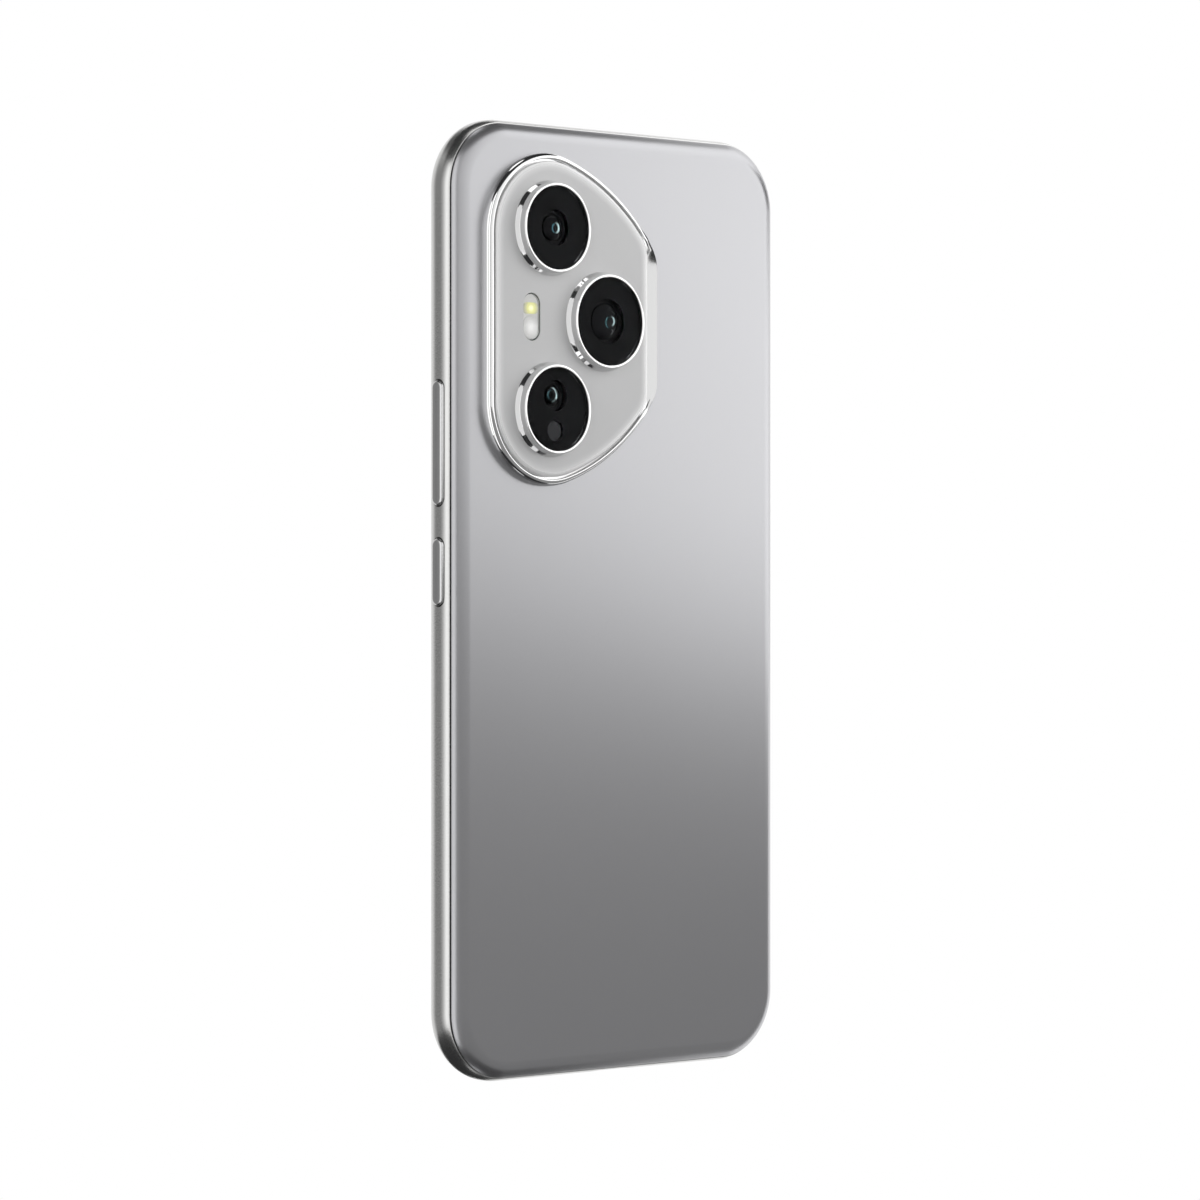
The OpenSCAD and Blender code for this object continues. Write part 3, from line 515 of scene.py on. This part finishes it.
def skirt_ring(share):
    """Ring of the trim's top: share below 1 counts SKIRT's points, above 1 goes on to the seat."""
    pts = []
    for (x, z), (nx, nz), t in zip(outline_pts, outline_n, seat):
        d = SKIRT[share][0] if share < len(SKIRT) else SEAT_IN + (t - SEAT_IN) * (share - len(SKIRT) + 1) / 8
        pts.append((x - d * nx, skirt_height(d, t), z - d * nz))
    return pts


seat = reach(SEAT_IN, FLANK_X + 0.6)
opening = reach(2.6, FLANK_X + 1.6)
same = [1.0] * len(seat)
rings = [skirt_ring(k) for k in range(len(SKIRT) + 8)]
rings.append(inwards(seat, PLATE_Y))
rings.append(inwards(opening, PLATE_Y))
rings.append(inwards(opening, REAR - 0.75))
rings.append(inwards([1.75] * len(seat), REAR - 0.75))
rings.append(inwards([1.75] * len(seat), REAR))
trim = Shell()
trim.loft(rings, loop=True)
trim_look = material("island_trim", **SLOT_LOOKS["trim_polished"])
polish(trim_look, 0, (FLANK_X + 0.05, FLANK_X - 0.25), (0.43, 0.43, 0.43), 0.10)
stands_for(trim.piece("island_trim", sharp=40), "camera_trim", trim_look)

PLATE_IN, PLATE_CORNER = 1.5, 5.0
ROLL = [(0, 0.8), (0.02, 0.86), (0.07, 0.915), (0.15, 0.955), (0.3, 0.985), (0.5, 1.005), (0.8, 1.02), (1.2, 1.035),
        (1.6, 1.045), (1.9, 1.05)]


def plate_line(e):
    """Outline of the plate, e inwards from its widest, with a rounded corner at each end of the flank."""
    limit = FLANK_X - 0.1 + e
    radius = ARC_B[2] - PLATE_IN - e
    far = math.acos((limit + PLATE_CORNER - ARC_B[0]) / (radius - PLATE_CORNER))
    corner_z = ARC_B[1] + (radius - PLATE_CORNER) * math.sin(far)
    half = island_half(-PLATE_IN - e, b_end=math.degrees(far), with_c=False)
    half += [(p, (-1, 0)) for p in arc(limit + PLATE_CORNER, corner_z, PLATE_CORNER, math.degrees(far), 180, 8)[1:]]
    return whole(half)[0]


plate = Shell()
levels = [(0, 0)] + ROLL
ids = plate.loft([[(x, PLATE_Y + h, z) for x, z in plate_line(e)] for e, h in levels])
holes = []
for x, z, r, _, _ in LENSES.values():
    line = arc(x, z, r + RING_LIP - 0.15, 0, 360, 72)[:-1]
    holes.append([plate.ring([(a, y, b) for a, b in line]) for y in (PLATE_Y, PLATE_TOP)])
line = [(FLASH_AT[0] + a, FLASH_AT[1] + b) for a, b in pill(FLASH_W + 0.02, FLASH_L + 0.02)]
holes.append([plate.ring([(a, y, b) for a, b in line]) for y in (PLATE_Y, PLATE_TOP)])
for a, b in holes:
    plate.skin(a, b)
plate.fill(1, ids[0], *[h[0] for h in holes])
plate.fill(1, ids[-1], *[h[1] for h in holes])
plate_look = material("island_plate", **SLOT_LOOKS["island_satin"])
polish(plate_look, 1, (PLATE_TOP - 0.002, PLATE_TOP - 0.06), (0.84, 0.84, 0.84), 0.16)
stands_for(plate.piece("island_plate"), "camera_plate", plate_look)

INK_T = 0.03
DOME = 0.34
EYES = {"upper": 3.05, "main": 3.85, "lower": 2.6}
ink_look = material("lens_ink", color=(0.019, 0.019, 0.0195), rough=0.5, tone=0.1, Specular_IOR_Level=0.0)
print_look = material("front_print", color=(0.003, 0.003, 0.0035), rough=0.5, tone=0.1, Specular_IOR_Level=0.0)
barrel_look = material("lens_throat", color=(0.006, 0.006, 0.007), rough=0.35, tone=0.1, Specular_IOR_Level=0.1)
eye_look = material("front_eye", color=(0.16, 0.24, 0.24), metallic=0.75, rough=0.06, rough_var=0.01, tone=0.02)

# Painted reflection glints on each front element: (x, z from the barrel's axis, radius, thickness; negative opens to
# +X, colour)
PAINTED_GLINT_ARCS = {
    "upper": [(-0.75, 0.05, 0.85, 0.45, (0.42, 0.56, 0.56)), (-0.5, 0.0, 0.8, -0.22, (0.08, 0.20, 0.24)),
              (-1.1, -1.2, 0.4, 0.3, (0.06, 0.06, 0.06))],
    "main": [(-1.5, 0.15, 0.8, 0.36, (0.34, 0.45, 0.45)), (-0.9, -0.1, 0.95, -0.24, (0.06, 0.14, 0.15)),
             (-0.5, 0.0, 2.3, 0.2, (0.03, 0.03, 0.03)), (-1.5, -1.6, 0.5, 0.4, (0.05, 0.05, 0.05))],
    "lower": [(0.1, 0.2, 1.2, 0.45, (0.50, 0.64, 0.64)), (0.35, 0.1, 0.85, -0.24, (0.06, 0.13, 0.14)),
              (-0.3, -0.8, 0.45, 0.3, (0.09, 0.10, 0.10))],
}


def painted_glint_material(name, at, shapes):
    """Dark glass with painted reflection glints: tinted metallic crescent-shaped patches where one disc is not
    covered by its shifted copy.
    """
    mat = material(name, color=(0.004, 0.004, 0.005), rough=0.12, tone=0.1, Specular_IOR_Level=0.06)
    nt = mat.node_tree
    bsdf = nt.nodes["Principled BSDF"]
    coord = nt.nodes.new("ShaderNodeTexCoord")
    flat = nt.nodes.new("ShaderNodeVectorMath")
    flat.operation = "MULTIPLY"
    flat.inputs[1].default_value = (1, 0, 1)
    nt.links.new(coord.outputs["Object"], flat.inputs[0])

    def inside(x, z, r, soft):
        away = nt.nodes.new("ShaderNodeVectorMath")
        away.operation = "DISTANCE"
        away.inputs[1].default_value = (x * MM, 0, z * MM)
        nt.links.new(flat.outputs["Vector"], away.inputs[0])
        edge = nt.nodes.new("ShaderNodeMapRange")
        edge.interpolation_type = "SMOOTHSTEP"
        for key, value in (("From Min", (r + soft) * MM), ("From Max", (r - soft) * MM)):
            edge.inputs[key].default_value = value
        nt.links.new(away.outputs["Value"], edge.inputs["Value"])
        return edge.outputs["Result"]

    def math_node(kind, a, b):
        node = nt.nodes.new("ShaderNodeMath")
        node.operation = kind
        nt.links.new(a, node.inputs[0])
        nt.links.new(b, node.inputs[1])
        return node.outputs["Value"]

    color, mirror = bsdf.inputs["Base Color"].links[0].from_socket, None
    for x, z, r, thick, tint in shapes:
        soft = abs(thick) * 0.35
        outer = inside(at[0] + x, at[1] + z, r, soft)
        inner = inside(at[0] + x + thick, at[1] + z, r, soft)
        gap = nt.nodes.new("ShaderNodeMath")
        gap.operation, gap.use_clamp = "SUBTRACT", True
        nt.links.new(outer, gap.inputs[0])
        nt.links.new(inner, gap.inputs[1])
        part = gap.outputs["Value"]
        blend = nt.nodes.new("ShaderNodeMix")
        blend.data_type = "VECTOR"
        ins = [i for i in blend.inputs if i.enabled and i.name in ("Factor", "A", "B")]
        nt.links.new(part, ins[0])
        nt.links.new(color, ins[1])
        ins[2].default_value = tint
        color = [o for o in blend.outputs if o.enabled][0]
        mirror = part if mirror is None else math_node("MAXIMUM", mirror, part)
    # The crescent-shaped colours are painted reflection glints
    nt.links.new(color, bsdf.inputs["Base Color"])
    nt.links.new(mirror, bsdf.inputs["Metallic"])
    return mat


def circle(n):
    """Cosine and sine of n even steps round a circle."""
    return [(math.cos(2 * math.pi * i / n), math.sin(2 * math.pi * i / n)) for i in range(n)]


for name, (x, z, r, barrel_r, up) in LENSES.items():
    lip = r + RING_LIP
    foot = soften([(lip + 0.5, PLATE_TOP + 0.02), (lip + 0.46, PLATE_TOP + 0.1), (lip + 0.04, PLATE_TOP + 0.7),
                   (lip, PLATE_TOP + 1.1)], (1, 2), 0.1)
    outer = [(lip - 0.2, PLATE_Y), (lip - 0.2, PLATE_TOP), (lip + 0.5, PLATE_TOP)] + foot
    crown = [(lip, RING_TOP), (r + 0.02, RING_TOP), (r + 0.02, COVER_Y), (r - 0.7, COVER_Y), (r - 0.7, PLATE_Y)]
    line = outer + crown
    line = soften(line, (len(outer), len(outer) + 1), 0.14)
    stands_for(turned((x, z), line).piece("ring_" + name), "lens_ring_" + name)
    under = COVER_Y + INK_T
    dome = [(r * t, COVER_TOP - DOME * t * t) for t in (1, 0.9, 0.8, 0.7, 0.6, 0.5, 0.4, 0.3, 0.2, 0.1, 0)]
    pane = soften([(0, under), (r, under)] + dome, (2,), 0.08)
    stands_for(turned((x, z), pane, loop=False).piece("cover_" + name), "lens_glass_" + name)

    # Black ink printed under the glass, open over the barrel
    ink = Shell()
    rim = [(x + r * c, z + r * s) for c, s in circle(96)]
    eye = [(x + EYES[name] * c, z + up + EYES[name] * s) for c, s in circle(64)]
    lens_holes = [eye]
    if name == "lower":
        lens_holes.append([(SENSOR_AT[0] + SENSOR_R * c, SENSOR_AT[1] + SENSOR_R * s) for c, s in circle(48)])
    faces = (COVER_Y + 0.003, COVER_Y + INK_T - 0.005)
    outlines = [[ink.ring([(a, y, b) for a, b in line]) for y in faces] for line in (rim, *lens_holes)]
    for a, b in outlines:
        ink.skin(a, b)
    for k in (0, 1):
        ink.fill(1, *[o[k] for o in outlines])
    joins(ink.piece("ink_" + name), "phone", "lens_glass", ink_look)

    # Barrel with a stepped throat, and the front element in it
    low, high = span("carrier_" + name, 1)
    a = barrel_r - 0.8
    throat = [(a, high), (a - 0.42, high), (a - 0.5, high - 0.1), (a - 0.72, high - 0.1), (a - 0.8, high - 0.24),
              (a - 1.15, high - 0.34)]
    steps = [(0, low), (barrel_r, low), (barrel_r, high - 0.8)] + throat + [(a - 1.15, high - 1), (0, high - 1)]
    steps = soften(steps, (3, 4, 5), 0.05)
    stands_for(turned((x, z + up), steps, loop=False).piece("barrel_" + name), "carrier_" + name, barrel_look)
    wide = a - 1.17
    bulge = [(wide * t, high + 0.33 - 0.28 * t * t) for t in (1, 0.9, 0.8, 0.7, 0.6, 0.5, 0.4, 0.3, 0.2, 0.1, 0)]
    lens = turned((x, z + up), [(0, high - 0.99), (wide, high - 0.99)] + bulge, loop=False)
    # The front element's material paints reflection glints on it
    joins(lens.piece("element_" + name), "focus_" + name, "lens_barrel",
          painted_glint_material("element_" + name, (x, z + up), PAINTED_GLINT_ARCS[name]))

# ---------- keys and tray ----------

CROWN = [(0.0, 0.0), (0.0, -0.45), (0.03, -0.3), (0.1, -0.17), (0.2, -0.08), (0.32, -0.02), (0.46, 0.0)]
for node, (z, length, nubs) in KEYS.items():
    key = Shell()
    levels = [(0, FLANGE_X[1])] + [(e, KEY_X + x) for e, x in CROWN[1:]]
    key.loft([[(x, a, z + b) for a, b in pill(KEY_W - 2 * e, length - 2 * e)] for e, x in levels], caps=True)
    key.box(FLANGE_X, (-KEY_W / 2 - 0.4, KEY_W / 2 + 0.4), (z - length / 2 - 0.4, z + length / 2 + 0.4))
    for nub in nubs:
        ring = arc(0, nub, 0.5, 0, 360, 24)[:-1]
        key.loft([[(x, a, b) for a, b in ring] for x in (NUB_X, FLANGE_X[0])], caps=True)
    stands_for(key.piece(node + "_cap"), node)

# ---------- sensor and flash ----------

low, high = span("light_sensor", 1)
window = soften([(0, low), (SENSOR_R, low), (SENSOR_R, high), (0, high)], (2,), 0.1)
sensor_look = material("sensor_window", color=(0.045, 0.045, 0.047), rough=0.5, tone=0.03, Specular_IOR_Level=0.2)
stands_for(turned(SENSOR_AT, window, loop=False).piece("sensor_window"), "light_sensor", sensor_look)

FLASH_TOP = span("flash_lens", 1)[1]


def pill_rings(shell, at, w, l, levels):
    """Rings of a pill standing on y: levels are (inset, y)."""
    return [shell.ring([(at[0] + a, y, at[1] + b) for a, b in pill(w - 2 * e, l - 2 * e)]) for e, y in levels]


# Clear cap over a well with the two windows in it; the well and the windows carry a painted glow
cap = Shell()
skirt = [(0.16, PLATE_Y), (0, PLATE_Y), (0, FLASH_TOP - 0.22), (0.03, FLASH_TOP - 0.14), (0.1, FLASH_TOP - 0.07),
         (0.22, FLASH_TOP - 0.02), (0.45, FLASH_TOP), (0.9, FLASH_TOP)]
under = [(0.9, FLASH_TOP - 0.16), (0.45, FLASH_TOP - 0.17), (0.22, FLASH_TOP - 0.2), (0.16, FLASH_TOP - 0.26)]
rings = pill_rings(cap, FLASH_AT, FLASH_W, FLASH_L, skirt)
inner = pill_rings(cap, FLASH_AT, FLASH_W, FLASH_L, under)
for a, b in zip(rings, rings[1:]):
    cap.skin(a, b)
for a, b in zip(inner, inner[1:]):
    cap.skin(a, b)
cap.skin(inner[-1], rings[0])
cap.cap(rings[-1])
cap.cap(inner[0])
stands_for(cap.piece("flash_cap"), "flash_lens")

well = Shell()
rings = pill_rings(well, FLASH_AT, FLASH_W, FLASH_L, [(0.2, PLATE_Y), (0.2, PLATE_Y + 0.55), (0.24, PLATE_Y + 0.58)])
for a, b in zip(rings, rings[1:]):
    well.skin(a, b)
well.cap(rings[0])
well.cap(rings[-1])
# The well's grey emits a painted glow, though it is no lamp
painted_glow_well_look = material("flash_well", color=(0.5, 0.5, 0.5), rough=0.45, tone=0.02, Emission_Strength=0.28)
joins(well.piece("flash_well"), "phone", "led_white", painted_glow_well_look)


def painted_glow_window(name, node, z, w, h, core, mid, rim, glow, reach):
    """Rounded pad over an LED with a painted soft glow: its colour and emission fade from a bright core by mid to
    rim over reach mm.
    """
    pad = Shell()
    at = (FLASH_AT[0], FLASH_AT[1] + z)
    levels = [(0, PLATE_Y + 0.58), (0, PLATE_Y + 0.72), (0.06, PLATE_Y + 0.78)]
    r = min(w, h) * 0.42
    rings = []
    for e, y in levels:
        line = []
        for cx, cz, a0 in ((1, 1, 0), (-1, 1, 90), (-1, -1, 180), (1, -1, 270)):
            line += arc(cx * (w / 2 - r), cz * (h / 2 - r), r - e, a0, a0 + 90, 8)
        rings.append(pad.ring([(at[0] + a, y, at[1] + b) for a, b in line]))
    for a, b in zip(rings, rings[1:]):
        pad.skin(a, b)
    pad.cap(rings[0])
    pad.cap(rings[-1])
    mat = material(name, color=rim, rough=0.5, tone=0.01)
    nt = mat.node_tree
    bsdf = nt.nodes["Principled BSDF"]
    coord = nt.nodes.new("ShaderNodeTexCoord")
    away = nt.nodes.new("ShaderNodeVectorMath")
    away.operation = "DISTANCE"
    away.inputs[1].default_value = (at[0] * MM, (PLATE_Y + 0.78) * MM, at[1] * MM)
    nt.links.new(coord.outputs["Object"], away.inputs[0])
    fade = nt.nodes.new("ShaderNodeValToRGB")
    fade.color_ramp.elements[0].color = (*core, 1)
    fade.color_ramp.elements[1].color = (*rim, 1)
    fade.color_ramp.elements.new(0.5).color = (*mid, 1)
    scale = nt.nodes.new("ShaderNodeMath")
    scale.operation = "DIVIDE"
    scale.inputs[1].default_value = reach * MM
    nt.links.new(away.outputs["Value"], scale.inputs[0])
    nt.links.new(scale.outputs["Value"], fade.inputs["Fac"])
    nt.links.new(fade.outputs["Color"], bsdf.inputs["Base Color"])
    nt.links.new(fade.outputs["Color"], bsdf.inputs["Emission Color"])
    bsdf.inputs["Emission Strength"].default_value = glow
    joins(pad.piece(name), "phone", node_slot[node], mat)


# Both LED pads carry a painted glow with a painted bright core
painted_glow_window("glow_warm", "flash_led_warm", 1.45, 3.3, 1.9, (1.0, 1.0, 0.62), (0.62, 0.62, 0.26), (0.38, 0.38, 0.3),
           0.75, 1.55)
painted_glow_window("glow_white", "flash_led_white", -1.75, 3.1, 3.9, (1.0, 1.0, 1.0), (0.72, 0.72, 0.72), (0.5, 0.5, 0.5),
           0.45, 2.1)

# ---------- screen side ----------

# Black print under the edge of the front glass
border = Shell()
edges = [[border.ring(body_ring(q, y)) for y in (GLASS_BACK - 0.02, GLASS_BACK - 0.004)] for q in (10.45, 9.0)]
for low, high in edges:
    border.skin(low, high)
for k in (0, 1):
    border.fill(1, edges[0][k], edges[1][k])
joins(border.piece("front_print"), "phone", "display", print_look)

low, high = span("front_camera", 1)
cam_z = FRONT_CAM_Z
selfie = Shell()
selfie.box((-3, 3), (span("chassis_plate", 1)[0] + 0.6, high), (cam_z - 3, cam_z + 3))
tube = [(0, -1.96), (1.7, -1.96), (1.7, low + 0.08), (1.62, low), (1.3, low), (1.22, low + 0.1), (1.05, low + 0.14),
        (1.0, low + 0.3), (0, low + 0.3)]
turned((0, cam_z), tube, n=64, shell=selfie, loop=False)
stands_for(selfie.piece("front_camera_body"), "front_camera")
eye = [(0, low + 0.32), (0.98, low + 0.32)]
eye += [(0.98 * math.sin(math.radians(t)) / math.sin(math.radians(50)),
         low + 0.2 + 1.28 * (1 - math.cos(math.radians(t))) - 0.1) for t in range(50, 4, -6)] + [(0, low + 0.1)]
joins(turned((0, cam_z), eye, n=64, loop=False).piece("front_camera_eye"), "phone", "sensor_black", eye_look)

# ---------- card tray ----------

low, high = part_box("sim_tray")
tray_x, tray_end = low[0] / MM, high[0] / MM
tray_z = (111.0, 122.0)


def edge_drop(y):
    """How far the frame's rounded side falls back at height y."""
    past = max(abs(y) - EDGE_Y, 0)
    return EDGE_R - math.sqrt(EDGE_R**2 - past**2)


tray = Shell()
rings = []
for e, inset in ((0.0, DOOR_T), (0.0, 0.14), (0.04, 0.06), (0.12, 0.0), (0.4, 0.0), (0.7, 0.0), (1.0, 0.0)):
    line = pill(DOOR_W - 2 * e, door_len - 2 * e)
    rings.append(tray.ring([(tray_x + (inset if inset == DOOR_T else inset + edge_drop(a)), a, door_mid + b)
                            for a, b in line]))
for a, b in zip(rings, rings[1:]):
    tray.skin(a, b)
tray.cap(rings[0])
tray.cap(rings[-1])
blade = Shell()
seat_x = (tray_end - 13.3, tray_end - 1.0)
seat_z = (sum(tray_z) / 2 - 4.4, sum(tray_z) / 2 + 4.4)
lip = [(tray_x + DOOR_T - 0.01, tray_z[0]), (tray_end, tray_z[0]), (tray_end, tray_z[1]),
       (tray_x + DOOR_T - 0.01, tray_z[1])]
lip = soften(lip, (1, 2), 0.7, 6)
well = [(seat_x[0], seat_z[0]), (seat_x[1] - 1.65, seat_z[0]), (seat_x[1], seat_z[0] + 1.65),
        (seat_x[1], seat_z[1]), (seat_x[0], seat_z[1])]
sheets = [[blade.ring([(a, y, b) for a, b in line]) for y in (-0.45, 0.45)] for line in (lip, well)]
for a, b in sheets:
    blade.skin(a, b)
for k in (0, 1):
    blade.fill(1, sheets[0][k], sheets[1][k])
pin = Shell()
pin.loft([[(x, 0.5 * c, 124.9 + 0.5 * s) for c, s in circle(32)] for x in (tray_x - 1, tray_x + 3)], caps=True)
door = tray.piece("tray_door", cutter=pin)
stands_for(door, "sim_tray")
joins(blade.piece("tray_blade"), "tray", "frame_metal")

# ---------- charging receptacle ----------

low, high = span("receptacle_shell", 2)
socket = Shell()
walls = [(0, low + 0.1), (0.06, low + 0.02), (0.12, low), (0.2, low), (0.26, low + 0.02), (0.32, low + 0.1)]
walls += [(0.32, high - 0.32)]
rings = []
for e, z in [(0, high)] + walls:
    line = pill(MOUTH[1] + 0.64 - 2 * e, MOUTH[0] + 0.64 - 2 * e)
    rings.append(socket.ring([(b, a, z) for a, b in line]))
for a, b in zip(rings, rings[1:]):
    socket.skin(a, b)
socket.cap(rings[0])
socket.cap(rings[-1])
socket.box((-6.4, 6.4), (-0.95, -0.65), (3.6, 6.4))
stands_for(socket.piece("socket_shell"), "receptacle_shell")

low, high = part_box("receptacle_tongue")
tongue = Shell()
nose = soften([(-0.35, high[2] / MM), (-0.35, low[2] / MM), (0.35, low[2] / MM), (0.35, high[2] / MM)], (1, 2), 0.16)
tongue.loft([[(x, y, z) for y, z in nose] for x in (low[0] / MM, high[0] / MM)], caps=True)
stands_for(tongue.piece("socket_tongue"), "receptacle_tongue")
pads = Shell()
for i in range(12):
    mid = (i - 5.5) * 0.5
    for y in ((-0.365, -0.345), (0.345, 0.365)):
        pads.box((mid - 0.14, mid + 0.14), y, (2.4, 6.4))
joins(pads.piece("socket_contacts"), "phone", "copper")

# ---------- stage ----------

CAMERA_TURN, CAMERA_FAR, CAMERA_ASIDE = 43.05, 768.0, -1.0
turn = math.radians(CAMERA_TURN)
s, c = math.sin(turn), math.cos(turn)
cam = bpy.data.cameras.new("camera")
cam.sensor_width = 36
cam.lens = 134.4
cam.shift_y = 0.0004
camera = bpy.data.objects.new("camera", cam)
bpy.context.scene.collection.objects.link(camera)
camera.location = Vector((CAMERA_FAR * s - CAMERA_ASIDE * c, CAMERA_FAR * c + CAMERA_ASIDE * s, MID)) * MM
camera.rotation_euler = Vector((-s, -c, 0)).to_track_quat("-Z", "Y").to_euler()
cam.clip_start, cam.clip_end = 0.01, 50
bpy.context.scene.camera = camera


WALL_R = 0.34


def stage_material(name, color, glow):
    mat = bpy.data.materials.new(name)
    mat.use_nodes = True
    bsdf = mat.node_tree.nodes["Principled BSDF"]
    bsdf.inputs["Base Color"].default_value = (*color, 1)
    bsdf.inputs["Roughness"].default_value = 0.9
    bsdf.inputs["Specular IOR Level"].default_value = 0.0
    bsdf.inputs["Emission Color"].default_value = (1, 1, 1, 1)
    bsdf.inputs["Emission Strength"].default_value = glow
    return mat


def glow_material(name, stops, peak, half, rise):
    """Emission that follows the azimuth by stops of (0..1 across 2 x half degrees, level), and fades in
    over a height range rise = (dark, full) in metres."""
    mat = bpy.data.materials.new(name)
    mat.use_nodes = True
    nt = mat.node_tree
    nt.nodes.clear()
    out = nt.nodes.new("ShaderNodeOutputMaterial")
    lamp = nt.nodes.new("ShaderNodeEmission")
    lamp.inputs["Strength"].default_value = peak
    coord = nt.nodes.new("ShaderNodeTexCoord")
    radial = nt.nodes.new("ShaderNodeTexGradient")
    radial.gradient_type = "RADIAL"
    nt.links.new(coord.outputs["Object"], radial.inputs["Vector"])
    turn = nt.nodes.new("ShaderNodeMapRange")
    turn.inputs["From Min"].default_value = 0.5 - half / 360
    turn.inputs["From Max"].default_value = 0.5 + half / 360
    nt.links.new(radial.outputs["Fac"], turn.inputs["Value"])
    ramp = nt.nodes.new("ShaderNodeValToRGB")
    marks = ramp.color_ramp.elements
    for k, (at, level) in enumerate(stops):
        mark = marks[k] if k < 2 else marks.new(at)
        mark.position, mark.color = at, (level, level, level, 1)
    nt.links.new(turn.outputs["Result"], ramp.inputs["Fac"])
    split = nt.nodes.new("ShaderNodeSeparateXYZ")
    nt.links.new(coord.outputs["Object"], split.inputs["Vector"])
    fade = nt.nodes.new("ShaderNodeMapRange")
    fade.interpolation_type = "SMOOTHSTEP"
    fade.inputs["From Min"].default_value, fade.inputs["From Max"].default_value = rise
    nt.links.new(split.outputs["Z"], fade.inputs["Value"])
    level = nt.nodes.new("ShaderNodeVectorMath")
    level.operation = "SCALE"
    nt.links.new(ramp.outputs["Color"], level.inputs[0])
    nt.links.new(fade.outputs["Result"], level.inputs["Scale"])
    nt.links.new(level.outputs["Vector"], lamp.inputs["Color"])
    nt.links.new(lamp.outputs["Emission"], out.inputs["Surface"])
    return mat


def between(stops, a):
    """Value at a on the broken line through stops."""
    for (a0, v0), (a1, v1) in zip(stops, stops[1:]):
        if a <= a1:
            return v0 + (v1 - v0) * (a - a0) / (a1 - a0)
    return stops[-1][1]


def light_wall(name, z, stops, radius=WALL_R):
    """Curved soft box round the phone, from stops of (azimuth in degrees, radiance), unseen by the camera.
    Each end of z is one height or stops of (azimuth, height)."""
    a0, a1 = stops[0][0], stops[-1][0]
    peak = max(level for _, level in stops)
    mid, half = (a0 + a1) / 2, (a1 - a0) / 2
    steps = max(int((a1 - a0) / 4), 1)
    wall = Shell()
    turns = [-half + 2 * half * i / steps for i in range(steps + 1)]
    low, high = [wall.ring([(radius / MM * math.cos(math.radians(t)), radius / MM * math.sin(math.radians(t)),
                             (between(h, mid + t) if isinstance(h, list) else h) / MM) for t in turns]) for h in z]
    for i in range(steps):
        wall.f.append((low[i], low[i + 1], high[i + 1], high[i]))
    ob = wall.piece(name)
    ob.rotation_euler.z = math.radians(mid)
    marks = [((a - a0) / (a1 - a0), level / peak) for a, level in stops]
    ob.data.materials.append(glow_material(name, marks, peak, half, (-3, -2)))
    hide_light(ob)


def light_disc(name, height, radius, level):
    """Round soft box above or below the phone."""
    disc = Shell()
    disc.cap(disc.ring([(radius / MM * c, radius / MM * s, height / MM) for c, s in circle(48)]))
    ob = disc.piece(name)
    ob.data.materials.append(glow_material(name, [(0, 1.0), (1, 1.0)], level, 180, (-3, -2)))
    hide_light(ob)


def dark_flag(name, at, size):
    """Black card before a wall: at and size are (azimuth, elevation seen from the island) in degrees."""
    flag = Shell()
    r = (WALL_R - 0.01) / MM
    turns = [math.radians(at[0] + size[0] * k / 4) for k in range(-4, 5)]
    rows = [flag.ring([(r * math.cos(t), r * math.sin(t), ISLAND_Z + r * math.tan(math.radians(at[1] + e)))
                       for t in turns]) for e in (-size[1], size[1])]
    for i in range(8):
        flag.f.append((rows[0][i], rows[0][i + 1], rows[1][i + 1], rows[1][i]))
    ob = flag.piece(name)
    ob.data.materials.append(stage_material(name, (0.01, 0.01, 0.01), 0.0))
    hide_light(ob)


def hide_light(ob):
    ob.visible_camera = False


EDGE_LINE = [(40, 0.098), (75, 0.096), (118, 0.092), (127, 0.083), (138, 0.064), (150, 0.056), (172, 0.056)]
light_wall("strip_wall", ([(-100, -0.14), (0, -0.14), (20, -0.325), (40, -0.325)],
                          [(-100, 0.40), (0, 0.40), (20, 0.485), (40, 0.485)]),
           [(-100, 0.95), (-72, 0.8), (-56, 0.36), (-46, 0.17), (-38, 0.24), (-25, 0.48), (-15, 0.76), (-7, 1.4),
            (3, 1.4), (9, 0.8), (24, 0.8), (30, 1.6), (40, 1.6)])
light_wall("back_wall", (EDGE_LINE, 0.485),
           [(40, 0.6), (43, 0.42), (51, 0.42), (58, 0.85), (75, 0.9), (100, 1.1), (127, 1.25), (139, 1.72), (172, 1.66)])
light_wall("back_low", (-0.325, EDGE_LINE), [(40, 0.262), (172, 0.262)])
light_wall("behind_wall", ([(172, -0.325), (225, -0.325), (235, -0.14), (260, -0.14)],
                           [(172, 0.485), (225, 0.485), (235, 0.40), (260, 0.40)]),
           [(172, 1.4), (190, 1.15), (215, 1.05), (240, 1.05), (260, 0.95)])
light_disc("top_disc", 0.62, 0.095, 1.4)
light_disc("low_disc", -0.45, 0.09, 0.8)
dark_flag("flag", (170, 14.5), (15, 6))

world = bpy.data.worlds.new("studio")
bpy.context.scene.world = world
world.use_nodes = True
world.node_tree.nodes["Background"].inputs["Color"].default_value = (0.03, 0.03, 0.031, 1)
world.node_tree.nodes["Background"].inputs["Strength"].default_value = 1.0


bpy.ops.mesh.primitive_uv_sphere_add(segments=48, ring_count=24, radius=8)
dome = bpy.context.object
dome.name = "backdrop"
dome.data.materials.append(stage_material("backdrop_white", (0, 0, 0), 1.0))
bpy.ops.mesh.primitive_plane_add(size=15)
floor = bpy.context.object
floor.name = "floor"
floor.data.materials.append(stage_material("floor_white", (0, 0, 0), 1.0))
for ob in (dome, floor):
    ob.visible_diffuse = ob.visible_glossy = ob.visible_transmission = ob.visible_shadow = False

bpy.context.scene.view_settings.view_transform = "Standard"
